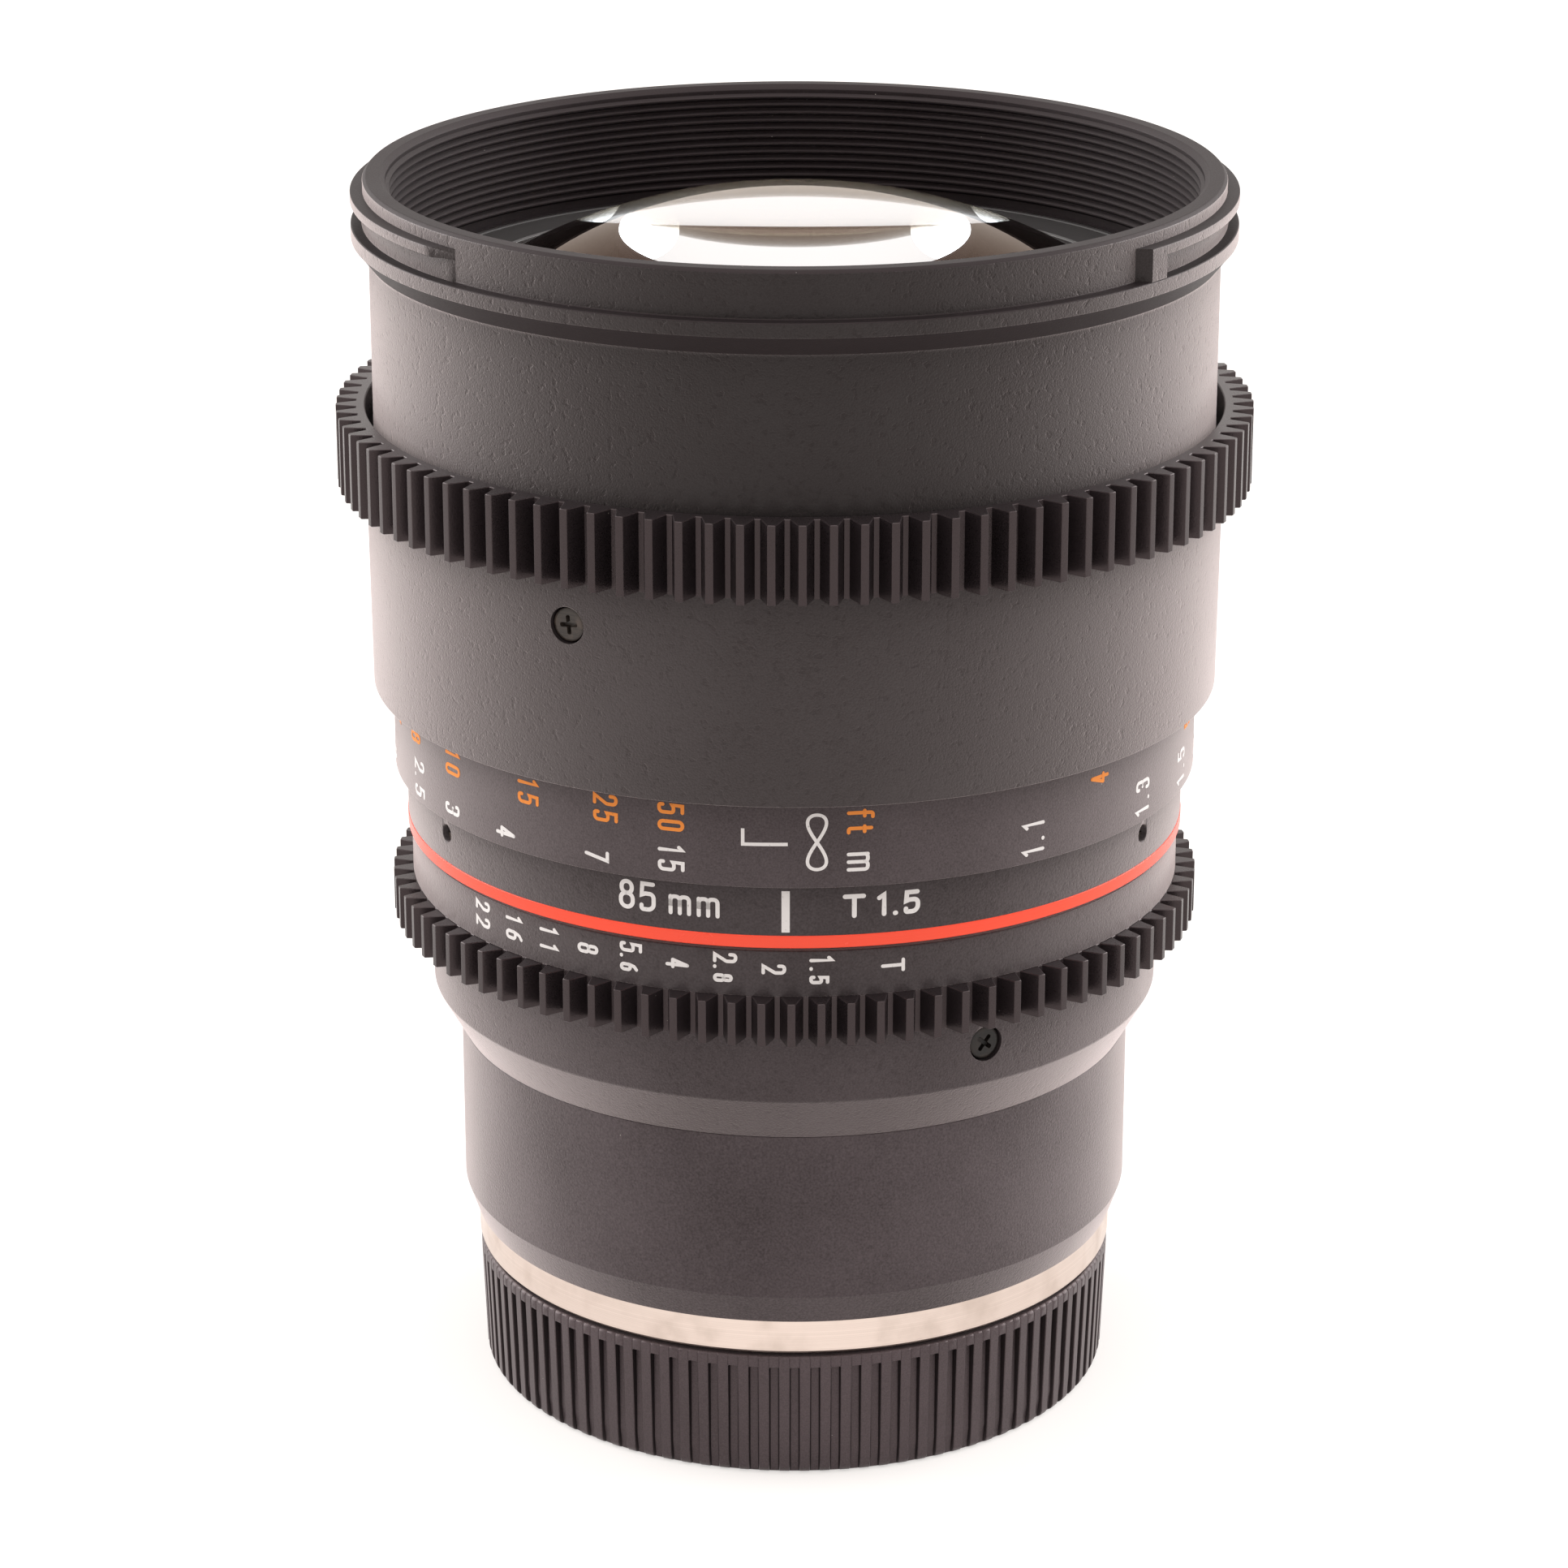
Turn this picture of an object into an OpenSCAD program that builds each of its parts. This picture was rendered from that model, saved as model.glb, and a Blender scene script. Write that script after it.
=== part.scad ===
// Cinema prime lens standing on its rear cap, front glass up.
// The optical axis is Z, the index line faces -Y, and angles run from -Y towards +X.

/* [Heights, from the rear cap up] */
// Height of the rear cap
cap_h = 11.85; // [11:0.05:13]
// Gap between the rear cap's lip and the mount ring
cap_gap = 0.3; // [0.2:0.05:0.6]
// Thickness of the metal mount ring
mount_h = 3.35; // [2.8:0.05:4.5]
// Height of the extension barrel
ext_h = 18.3; // [17:0.1:22]
// Height of the cone at the foot of the rear barrel
rear_cone_h = 4.35; // [3.5:0.05:5]
// Height of the straight part of the rear barrel
rear_h = 6.25; // [6:0.05:8]
// Axial gap beside a ring that turns
ring_gap = 0.35; // [0.25:0.05:0.6]
// Face width of the aperture gear
ap_gear_h = 3.95; // [3.5:0.05:5]
// Height of the numbered band of the aperture ring
ap_band_h = 4.2; // [3.8:0.05:6]
// Height of the red trim ring
red_h = 1.15; // [0.8:0.05:2]
// Height of the index ring
index_h = 4.4; // [4:0.1:6]
// Height of the distance scale that shows below the sleeve
scale_h = 8.05; // [7.5:0.05:10]
// Height of the focus sleeve below its gear
sleeve_h = 18.3; // [17.5:0.1:22]
// Face width of the focus gear
focus_gear_h = 6.9; // [6:0.1:9]
// Height of the smooth front barrel above the focus gear
barrel_h = 13.4; // [13:0.1:18]
// Height of the cone under the hood flange
hood_cone_h = 1.5; // [1:0.1:2.5]
// Thickness of the hood flange
hood_flange_h = 1.55; // [1.2:0.05:2.5]
// Height of the slot under the hood lugs
hood_slot_h = 1.95; // [1.5:0.05:2.5]
// Thickness of the hood lugs
hood_lug_h = 0.9; // [0.7:0.05:1.5]
// Height of the rim above the hood lugs
rim_h = 1.25; // [1:0.05:2]

/* [Outside radii] */
// Radius of the front barrel
barrel_r = 37.5; // [37.2:0.05:38]
// Radius of the hood flange and its lugs
hood_r = 39; // [38.6:0.1:40]
// Radius of the rim inside the hood lugs
rim_r = 37.9; // [37.4:0.05:38.2]
// Radius of the bore that takes the filter thread
filter_r = 35.9; // [35.7:0.05:36.1]
// Radius of the focus sleeve
sleeve_r = 38.2; // [37.8:0.05:38.6]
// Radius of the index ring
index_r = 35.3; // [34.8:0.05:35.6]
// How far the red trim stands out from the index ring
red_proud = 0.05; // [0.02:0.01:0.2]
// Radius of the aperture ring's numbered band
ap_r = 35; // [34.6:0.05:35.4]
// Radius of the rear barrel
rear_r = 33.3; // [33:0.05:34]
// Radius of the extension barrel
ext_r = 30.85; // [30.4:0.05:31.5]
// Radius of the mount ring
mount_r = 29.6; // [29.2:0.05:30.2]
// Radius over the cap's ribs at its lip
cap_r = 29.5; // [29:0.05:30]
// How much the cap narrows towards its base
cap_draft = 0.4; // [0.1:0.05:0.8]

/* [Walls and fits] */
// Radial clearance of turning and sliding fits
fit = 0.05; // [0.03:0.01:0.08]
// Wall of the focus sleeve
sleeve_wall = 1.8; // [1.6:0.05:2.2]
// Wall of the distance scale ring
scale_wall = 0.9; // [0.7:0.05:1.1]
// Wall of the focus cam tube
cam_wall = 1.05; // [0.8:0.05:1.3]
// Wall of the main barrel around the focusing group
main_wall = 1.7; // [1.4:0.05:1.9]
// Wall of the front barrel beside the front cell
front_wall = 2.95; // [2.6:0.05:3.2]
// Wall of the aperture ring
ap_wall = 1.95; // [1.7:0.05:2.2]
// Wall of the rear barrel
rear_wall = 1.35; // [1.1:0.05:1.6]
// Wall of the main barrel's skirt
skirt_wall = 1.35; // [1.1:0.05:1.6]
// Wall of the extension barrel
ext_wall = 1.65; // [1.3:0.05:2.2]
// Small edge break on the barrels
edge = 0.3; // [0.1:0.05:0.4]

/* [Gears] */
// Tooth size of the follow-focus gears
gear_module = 0.8; // [0.7:0.05:0.9]
// Thickness of the focus gear's rim under its teeth
gear_rim = 0.8; // [0.6:0.05:1]
// Depth of the step that the focus gear sits on
gear_step = 0.8; // [0.6:0.05:1]
// Height of the step that the focus gear sits on
gear_seat_h = 3; // [2.5:0.1:4]
// Free gap between the focus gear and the front barrel
gear_gap = 0.7; // [0.5:0.05:0.8]
// Thickness of the aperture gear's rim under its teeth
ap_gear_rim = 0.95; // [0.8:0.05:1.1]
// Flank angle of the teeth
flank = 20; // [15:1:25]
// Angle of a focus gear tooth from -Y
focus_tooth_phi = 0.8; // [-2:0.1:2]
// Angle of an aperture gear tooth from -Y
ap_tooth_phi = -0.5; // [-2:0.1:2]

/* [Focus] */
// Turn of the focus ring from end to end, in degrees
focus_throw = 150; // [120:5:160]
// Turn below the photographed setting, in degrees
focus_below = 8; // [4:1:12]
// Travel of the focusing group from end to end
focus_travel = 9; // [7:0.5:9]
// Radius of the cam rollers
roller_r = 1.5; // [1.2:0.1:1.8]
// Extra play of the roller in its cam slot
cam_play = 0.1; // [0.05:0.01:0.2]

/* [Iris] */
// Radius of the fully open iris
iris_open_r = 18.4; // [17:0.1:18.6]
// Radius of the closed iris
iris_min_r = 1.9; // [1.5:0.1:4]
// Width of a blade's leaf
leaf_w = 4.8; // [4.4:0.1:5]
// Arc of a blade's leaf, in degrees
leaf_arc = 118; // [110:1:125]
// Thickness of a blade
blade_t = 0.15; // [0.1:0.01:0.18]
// Height from one blade to the next
blade_pitch = 0.3; // [0.25:0.01:0.35]
// Radius of the blade pins
pin_r = 0.5; // [0.4:0.05:0.6]
// Arm from a blade's pivot to its drive pin
drive_arm = 4.6; // [4:0.1:5]
// Turn of the aperture ring from end to end, in degrees
iris_throw = 58.8; // [50:0.1:62]
// Turn below the photographed setting, in degrees
iris_below = 5.4; // [3:0.1:8]
// Play of a pin in its hole or slot
pin_play = 0.1; // [0.05:0.01:0.12]

/* [Front glass] */
// Front radius of the front element
glass_front_R = 55; // [52:1:60]
// Depth of the glass's crown below the rim
glass_depth = 2.35; // [2:0.05:4]
// Half width of the front element
glass_r = 30.6; // [30:0.1:30.8]

/* [Fasteners] */
// Radius of the barrel screws' heads
head_r = 1.6; // [1.3:0.05:1.8]
// Height of the barrel screws' heads
head_h = 0.7; // [0.5:0.05:0.8]
// How deep the heads lie under the surface
head_sink = 0.2; // [0.1:0.05:0.3]
// Radius of the barrel screws' shanks
shank_r = 0.75; // [0.6:0.05:0.9]
// Radius of the index ring's set screws
set_r = 0.75; // [0.5:0.05:0.9]
// Height of the focus screws above the sleeve's lower edge
focus_screw_up = 14.2; // [13:0.1:15]
// Height of the rear screws below the rear barrel's top
rear_screw_down = 2.6; // [2.2:0.1:3.2]
// Height of the set screws above the index ring's lower edge
set_up = 2.7; // [1.5:0.1:3]

/* [Camera mount and cap] */
// Inside radius of the bayonet tube
throat_r = 20.5; // [20:0.1:21]
// Wall of the bayonet tube
throat_wall = 1.1; // [0.9:0.05:1.4]
// Depth of the bayonet tube behind the mount ring
throat_h = 4.25; // [4:0.05:5]
// Reach of the bayonet lugs
lug_reach = 1.35; // [1:0.05:1.6]
// Thickness of the bayonet lugs
lug_h = 1.4; // [1:0.05:1.6]
// Arc of each bayonet lug, in degrees
lug_arc = 55; // [45:1:58]
// Arc of each tab in the cap, in degrees
tab_arc = 40; // [30:1:48]
// Thickness of the cap's floor
cap_floor = 2; // [1.6:0.1:2.4]
// Number of grip ribs on the cap
ribs = 100; // [80:1:110]
// Depth of the grooves between the ribs
rib_depth = 0.6; // [0.4:0.05:0.8]
// Share of the pitch that a groove takes
groove_share = 0.37; // [0.3:0.01:0.45]
// Height of the plain band at the cap's lip
cap_band_h = 1.1; // [0.8:0.05:2]

/* [Hidden] */
$fn = 128;
// Overlap of cutters past the faces that they cut
cut = 1;
// Small overlap that joins the bodies of one piece
lap = 0.1;
// Gaps: between pieces that pass each other, wide ones, and between fixed pieces
free_gap = 0.3;
wide_gap = 0.5;
slack = 0.2;
// Pieces that are named one by one
blades = 8;
rollers = 3;
// Bayonet lugs of the mount, and tabs of the cap
lugs = 3;

// Levels of the outside stack
z_mount = cap_h + cap_gap;
z_ext = z_mount + mount_h;
z_rear = z_ext + ext_h;
z_rear_straight = z_rear + rear_cone_h;
z_rear_top = z_rear_straight + rear_h;
z_ap = z_rear_top + ring_gap;
z_ap_band = z_ap + ap_gear_h;
z_ap_top = z_ap_band + ap_band_h;
z_red = z_ap_top + ring_gap;
z_index = z_red + red_h;
z_index_top = z_index + index_h;
z_scale = z_index_top + ring_gap;
z_sleeve = z_scale + scale_h;
z_gear = z_sleeve + sleeve_h;
z_gear_top = z_gear + focus_gear_h;
z_hood_cone = z_gear_top + barrel_h;
z_hood = z_hood_cone + hood_cone_h;
z_slot = z_hood + hood_flange_h;
z_lug = z_slot + hood_slot_h;
z_top = z_lug + hood_lug_h + rim_h;

// Radii of the nested tubes, from the sleeve inwards
sleeve_in = sleeve_r - sleeve_wall;
scale_r = sleeve_in - fit;
scale_in = scale_r - scale_wall;
cam_r = scale_in - fit;
cam_in = cam_r - cam_wall;
main_r = cam_in - fit;
main_in = main_r - main_wall;
focus_cell_r = main_in - fit;
neck_r = sleeve_r - gear_step;
front_in = barrel_r - front_wall;
front_neck_r = sleeve_in - wide_gap;
waist_r = ap_r - ap_wall - fit;
skirt_r = rear_r - rear_wall - fit;
iris_bore_r = skirt_r - skirt_wall;

// Levels inside, each from the outside part that carries it
flange_down = 1.2;
flange_t = 2.7;
main_step_up = 0.85;
scale_lap = 6.8;
collar_down = 3.4;
rear_floor_t = 2.7;
z_flange = z_gear - flange_down;
z_front_seat = z_flange + flange_t;
z_front_step = z_gear + gear_seat_h + wide_gap;
z_cam_top = z_flange - free_gap;
z_main_step = z_scale + main_step_up;
z_cam_foot = z_main_step + wide_gap;
z_scale_top = z_sleeve + scale_lap;
z_focus_screw = z_sleeve + focus_screw_up;
z_rear_screw = z_rear_top - rear_screw_down;
z_set = z_index + set_up;
z_collar = z_focus_screw - collar_down;
z_floor_top = z_rear + rear_floor_t;

// Focusing group
focus_rate = focus_travel / focus_throw;
cell_up = 1.2;
cell_h = 11.8;
roller_up = 4.8;
roller_seat = 1.35;
roller_phi = 60;
nose_wall = 2;
nose_gap = 0.4;
nose_h = 6.6;
z_cell = z_main_step + cell_up;
z_roller = z_cell + roller_up;
nose_bore_r = waist_r - nose_wall;
nose_r = nose_bore_r - nose_gap;
roller_in = focus_cell_r - roller_seat;
roller_out = cam_r - slack;
straight_low = z_roller - focus_below * focus_rate - roller_r - wide_gap;
straight_high = z_roller + (focus_throw - focus_below) * focus_rate + roller_r + wide_gap;

// Iris
cam_ring_down = 3;
cam_ring_t = 1;
iris_base_t = 1;
cover_t = 0.6;
cover_lap = 0.4;
shoulder_t = 1.55;
shoulder_w = 4;
blade_gap = 0.15;
plate_gap = 0.1;
pivot_out = 1.3;
ear_w = 0.6;
iris_rim = 0.85;
cam_ring_reach = 1;
z_cam_ring = z_ap_top - cam_ring_down;
z_blades = z_cam_ring - blades * blade_pitch;
z_iris_base = z_blades - blade_gap - iris_base_t;
z_cover = z_cam_ring + cam_ring_t + plate_gap;
z_shoulder = z_cover + cover_t + fit;
pivot_r = iris_open_r + leaf_w + pin_r + pivot_out;
leaf_r = iris_open_r + leaf_w;
iris_close = 2 * asin((iris_open_r - iris_min_r) / (2 * pivot_r));
blade_rate = iris_close / iris_throw;
blade_rest = iris_below * blade_rate;
rim_out_r = iris_bore_r - fit;
rim_in_r = rim_out_r - iris_rim;
cam_ring_r = rim_in_r - fit;
cam_ring_in = pivot_r - cam_ring_reach;
lever_arc = 6;
lever_phi = 180;
lever_cover = 0.8;
lever_play = 0.1;
window_spare = 3;
lever_out_r = ap_r - lever_cover;
window_arc = iris_throw + lever_arc + window_spare;

// Gears: tooth counts follow from the rings that carry them
dedendum = 1.25;
focus_teeth = round(2 * (sleeve_r + gear_rim) / gear_module + 2 * dedendum);
ap_seat_r = ap_r - ap_gear_rim;
ap_teeth = round(2 * ap_r / gear_module + 2 * dedendum);

// Front group, measured down from the rim
z_glass = z_top - glass_depth;
L1_t = 10.5;
L2_R = 60;
L2_rear_R = 120;
L2_t = 6;
L2_step = 1.6;
L2_r = glass_r - L2_step;
L3_R = 140;
L3_rear_R = 45;
L3_t = 2.2;
L3_step = 1;
L3_r = L2_r - L3_step;
L3_dish_r = 24;
L3_foot_t = 1.2;
air = 0.8;
spacer_w = 1.2;
seat_w = 1;
z_L1_seat = z_glass - L1_t;
z_L2 = z_L1_seat - air;
z_L2_seat = z_L2 - L2_t - sag(L2_rear_R, L2_r);
z_L3 = z_L2 - L2_t - air;
z_L3_seat = z_L3 - L3_t - sag(L3_rear_R, L3_dish_r);
lip_w = 1.3;
lip_t = 0.7;
ring_t = 1;
front_flange_t = 2;
flange_step = 0.65;
filter_edge = 1.5 * edge;
z_cell_top = z_glass - sag(glass_front_R, glass_r) + slack;
lip_r = glass_r - lip_w;
z_lip = z_glass - sag(glass_front_R, lip_r) + fit;
front_cell_r = front_in - fit;
front_flange_r = filter_r - flange_step;

// Focusing group's glass, measured up from the cell
L4_R = 75;
L4_rear_R = 110;
L4_t = 9.5;
L4_r = 27;
L5_t = 2;
L5_rear_R = 90;
L5_dish_r = 24;
L6_R = 80;
L6_rear_R = 120;
L6_t = 7.2;
L6_r = 24;
cement = 0.02;
L5_seat_down = 0.48;
L6_air = 1.48;
focus_lip_w = 0.8;
focus_lock_w = 3.3;
focus_lock_t = 1.7;
z_L5_seat = z_cell - L5_seat_down;
z_L5_rear = z_L5_seat + sag(L5_rear_R, L5_dish_r);
z_L4_rear = z_L5_rear + L5_t + cement;
z_L4 = z_L4_rear + L4_t;
z_L6 = z_L5_rear - L6_air;
z_L6_seat = z_L6 - L6_t + sag(L6_rear_R, L6_r - seat_w) - fit;
focus_lip_r = L4_r - focus_lip_w;
z_focus_lip = z_L4 - sag(L4_R, focus_lip_r) + fit;

// Rear group, measured down from the iris
z_rear_cell = z_iris_base;
rear_cell_r = 23.5;
rear_flange_t = 1.7;
L7_R = 45;
L7_t = 2;
L7_r = 20;
L8_R = 60;
L8_rear_R = 42;
L8_t = 9.8;
L9_R = 60;
L9_rear_R = 110;
L9_t = 6;
L9_r = 19;
L7_edge_down = 0.85;
rear_foot_t = 2.2;
rear_lock_t = 1.6;
z_L7_edge = z_rear_cell - L7_edge_down;
z_L7 = z_L7_edge - sag(L7_R, L7_r);
z_L8 = z_L7 - L7_t - cement;
z_L8_rear = z_L8 - L8_t;
z_L9 = z_L8_rear - air;
z_L9_seat = z_L9 - L9_t + sag(L9_rear_R, L9_r - seat_w) - fit;
z_L8_seat = z_L8_rear + sag(L8_rear_R, L9_r) - fit;
z_rear_cell_foot = z_L9_seat - rear_foot_t;
rear_floor_r = rear_cell_r + 2 * wide_gap;

// Camera mount and cap
throat_out = throat_r + throat_wall;
lug_r = throat_out + lug_reach;
z_throat = z_mount - throat_h;
cap_room = 1.25;
tab_gap = 0.4;
tab_t = 1.5;
cap_in = lug_r + cap_room;
tab_in = throat_out + tab_gap;
z_bayonet = z_throat + lap;
z_tab = z_bayonet + lug_h + free_gap;
mount_screw_in = 2.2;
mount_screw_r = ext_r - ext_wall - mount_screw_in;
mount_screw_short = 1.2;
boss_r = 2;
boss_h = 5;
boss_web = 0.8 * boss_r;
ext_chamfer_h = 2.8;
ext_floor_t = 2;
baffle_t = 0.8;
gate_w = 30;
gate_h = 22;
lock_hole_phi = 100;
lock_hole_r = 1.3;
lock_hole_h = 1.8;
lock_hole_in = 0.8;

// Hood bayonet: the lugs end on planes across the X axis
hood_end_y = 25.26;
hood_lead = 0.434;
hood_lead_x = 28.25;
hood_stop_w = 1.65;
hood_far = 60;
hood_near = 20;
slot_proud = 0.15;
hood_root_r = (filter_r + rim_r) / 2;
slot_wall_r = rim_r + slot_proud;

// Small screws: cross of a barrel screw, slot of a set screw, and the front flange's screws
cross_l = 1.3 * head_r;
cross_w = 0.45;
set_sink = 0.5;
set_slot_d = 0.4;
set_slot_w = 0.25;
flange_screw_r = 0.5;
flange_screw_l = 3.6;
flange_head_r = 0.9;
flange_head_h = 0.8;
flange_thread_h = 1.2;
flange_screw_at = (front_in + front_neck_r) / 2;

barrel_black = [0.10, 0.095, 0.09];
gear_black = [0.06, 0.06, 0.06];
inner_black = [0.14, 0.14, 0.15];
steel = [0.62, 0.62, 0.64];
nickel = [0.83, 0.78, 0.72];
glass_tint = [0.75, 0.82, 0.9, 0.5];
brass = [0.72, 0.6, 0.35];
red = [0.9, 0.2, 0.14];

// Depth of a sphere of radius R at distance r from its axis
function sag(R, r) = R - sqrt(R * R - r * r);

// Unit point at an angle counted from -Y towards +X
function dir(phi) = [sin(phi), -cos(phi)];

// Sector of the plane from angle a to angle b, out to radius r
function sector(a, b, r) = concat([[0, 0]], [for (i = [0:6]) r * dir(a + (b - a) * i / 6)]);

// Outline of a spur gear with straight flanks, one tooth centred on angle phi0
function gear_outline(teeth, phi0) =
    let (pitch_r = teeth * gear_module / 2,
         tip_r = pitch_r + gear_module,
         root_r = pitch_r - dedendum * gear_module,
         half_pitch = 90 / teeth,
         tip_half = half_pitch - atan(gear_module * tan(flank) / pitch_r),
         root_half = half_pitch + atan(dedendum * gear_module * tan(flank) / pitch_r))
    [for (i = [0:teeth - 1])
        let (a = phi0 + i * 360 / teeth)
        for (p = [[root_r, -root_half], [tip_r, -tip_half], [tip_r, tip_half], [root_r, root_half]])
            p[0] * dir(a + p[1])];

module ring(r_out, r_in, z0, z1) {
    translate([0, 0, z0]) difference() {
        cylinder(r = r_out, h = z1 - z0);
        translate([0, 0, -cut]) cylinder(r = r_in, h = z1 - z0 + 2 * cut);
    }
}

module revolve(points) {
    rotate_extrude() polygon(points);
}

module slab(points, z0, z1) {
    translate([0, 0, z0]) linear_extrude(z1 - z0) polygon(points);
}

// Turns +X towards an angle counted from the index
module at(phi) {
    rotate([0, 0, phi - 90]) children();
}

// Rod along a radius, from r0 to r1, at height z
module spoke(phi, z, r0, r1, rod_r) {
    at(phi) translate([r0, 0, z]) rotate([0, 90, 0]) cylinder(r = rod_r, h = r1 - r0);
}

// Sphere on the axis that gives a glass surface
module ball(z, R) {
    translate([0, 0, z]) sphere(r = R, $fn = 3 * $fn);
}

// Glass element: convex surfaces have positive radii, hollow ones negative, flat ones are plano
plano = 0;
module element(z_front, t, R_front, R_rear, r) {
    low = z_front - t - (R_rear < 0 ? sag(-R_rear, r) : 0);
    high = z_front + (R_front < 0 ? sag(-R_front, r) : 0);
    difference() {
        intersection() {
            translate([0, 0, low]) cylinder(r = r, h = high - low);
            if (R_front > 0) ball(z_front - R_front, R_front);
            if (R_rear > 0) ball(z_front - t + R_rear, R_rear);
        }
        if (R_front < 0) ball(z_front - R_front, -R_front);
        if (R_rear < 0) ball(z_front - t + R_rear, -R_rear);
    }
}

// Countersunk barrel screw with a cross recess, its axis along a radius
module barrel_screw(phi, z, surface_r, end_r) {
    head_out = surface_r - head_sink;
    head_in = head_out - head_h;
    difference() {
        union() {
            spoke(phi, z, head_in, head_out, head_r);
            spoke(phi, z, end_r, head_in + fit, shank_r);
        }
        at(phi) for (turn = [0, 90])
            translate([head_out, 0, z]) rotate([turn, 0, 0]) cube([head_h, cross_l, cross_w],
                center = true);
    }
}

module barrel_screw_hole(phi, z, surface_r, end_r) {
    seat = surface_r - head_sink - head_h;
    spoke(phi, z, seat, surface_r + cut, head_r + pin_play);
    spoke(phi, z, end_r, seat + cut, shank_r + fit);
}

function focus_screw_angles() = [-30, 90, 210];
function rear_screw_angles() = [30, 150, 270];
function set_screw_angles() = [-60.5, 60.5, 180];
function quarter_angles() = [45, 135, 225, 315];
function roller_angles() = [for (i = [0:rollers - 1]) roller_phi + i * 360 / rollers];

module hood_side() {
    lead_far = hood_end_y - (hood_far - hood_lead_x) * hood_lead;
    lead_near = hood_end_y + (hood_lead_x - hood_near) * hood_lead;
    outline = [[hood_near, -hood_end_y], [hood_far, -hood_end_y], [hood_far, lead_far],
        [hood_near, lead_near]];
    intersection() {
        slab(outline, z_slot, z_lug + hood_lug_h);
        union() {
            ring(hood_r, hood_root_r, z_lug, z_lug + hood_lug_h);
            ring(slot_wall_r, hood_root_r, z_slot, z_lug);
        }
    }
    intersection() {
        ring(hood_r, hood_root_r, z_slot, z_lug + hood_lug_h);
        translate([hood_near, -hood_end_y, z_slot]) cube([hood_far, hood_stop_w,
            hood_slot_h + hood_lug_h]);
    }
}

module front_barrel() {
    color(barrel_black) difference() {
        union() {
            revolve([[front_in, z_front_seat], [front_neck_r, z_front_seat], [front_neck_r, z_front_step],
                [barrel_r, z_front_step], [barrel_r, z_hood_cone], [hood_r - edge, z_hood],
                [hood_r, z_hood + edge], [hood_r, z_slot], [rim_r, z_slot], [rim_r, z_top - edge],
                [rim_r - edge, z_top], [filter_r + filter_edge, z_top], [filter_r, z_top - filter_edge],
                [filter_r, z_cell_top + ring_t], [front_flange_r + fit, z_cell_top + ring_t],
                [front_flange_r + fit, z_cell_top - front_flange_t], [front_in,
                    z_cell_top - front_flange_t]]);
            for (side = [0, 180]) rotate([0, 0, side]) hood_side();
        }
        for (phi = quarter_angles()) at(phi) translate([flange_screw_at, 0, z_front_seat - cut])
            cylinder(r = flange_screw_r + fit, h = flange_thread_h + cut);
    }
}

module front_retaining_ring() {
    color(inner_black) revolve([[lip_r, z_lip], [glass_r + slack, z_lip], [glass_r + slack, z_cell_top],
        [front_flange_r, z_cell_top], [front_flange_r, z_cell_top + ring_t], [lip_r, z_lip + lip_t]]);
}

module front_cell() {
    color(inner_black) revolve([[L3_dish_r + wide_gap, z_L3_seat - L3_foot_t],
        [main_in - free_gap, z_L3_seat - L3_foot_t],
        [main_in - free_gap, z_front_seat + slack], [front_cell_r, z_front_seat + slack],
        [front_cell_r, z_cell_top - front_flange_t], [front_flange_r, z_cell_top - front_flange_t],
        [front_flange_r, z_cell_top], [glass_r + fit, z_cell_top], [glass_r + fit, z_L1_seat],
        [L2_r + fit, z_L1_seat], [L2_r + fit, z_L2_seat], [L3_r + fit, z_L2_seat],
        [L3_r + fit, z_L3_seat], [L3_dish_r + wide_gap, z_L3_seat]]);
}

module lens_1() {
    color(glass_tint) element(z_glass, L1_t, glass_front_R, plano, glass_r);
}

module lens_2() {
    color(glass_tint) element(z_L2, L2_t, L2_R, -L2_rear_R, L2_r);
}

// Hollow element with a flat ground seat round its dish
module lens_3() {
    color(glass_tint) difference() {
        intersection() {
            translate([0, 0, z_L3_seat]) cylinder(r = L3_r, h = z_L3 - z_L3_seat);
            ball(z_L3 - L3_R, L3_R);
        }
        ball(z_L3 - L3_t - L3_rear_R, L3_rear_R);
    }
}

module front_spacer() {
    color(inner_black) ring(L2_r, L2_r - spacer_w, z_L2 - sag(L2_R, L2_r - spacer_w) + fit,
        z_L1_seat - fit);
}

module main_barrel() {
    color(inner_black) difference() {
        revolve([[iris_bore_r, z_floor_top], [skirt_r, z_floor_top], [skirt_r, z_rear_top],
            [waist_r, z_rear_top],
            [waist_r, z_scale], [main_r, z_scale], [main_r, z_flange],
            [sleeve_in - fit, z_flange], [sleeve_in - fit, z_front_seat], [main_in, z_front_seat],
            [main_in, z_main_step], [nose_bore_r, z_main_step], [nose_bore_r, z_shoulder + shoulder_t],
            [nose_bore_r - shoulder_w, z_shoulder + shoulder_t], [nose_bore_r - shoulder_w, z_shoulder],
            [iris_bore_r, z_shoulder]]);
        for (phi = roller_angles()) at(phi)
            translate([main_in - cut, -roller_r - fit, straight_low])
                cube([main_wall + 2 * cut, 2 * (roller_r + fit), straight_high - straight_low]);
        lever_window(iris_bore_r - cut, waist_r + cut);
        for (phi = rear_screw_angles()) spoke(phi, z_rear_screw, iris_bore_r + slack, skirt_r + cut,
            shank_r + fit);
        for (phi = quarter_angles()) at(phi) translate([flange_screw_at, 0, z_flange - cut]) {
            cylinder(r = flange_screw_r + fit, h = flange_t + 2 * cut);
            cylinder(r = flange_head_r + fit, h = flange_head_h + lap + cut);
        }
    }
}

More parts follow.
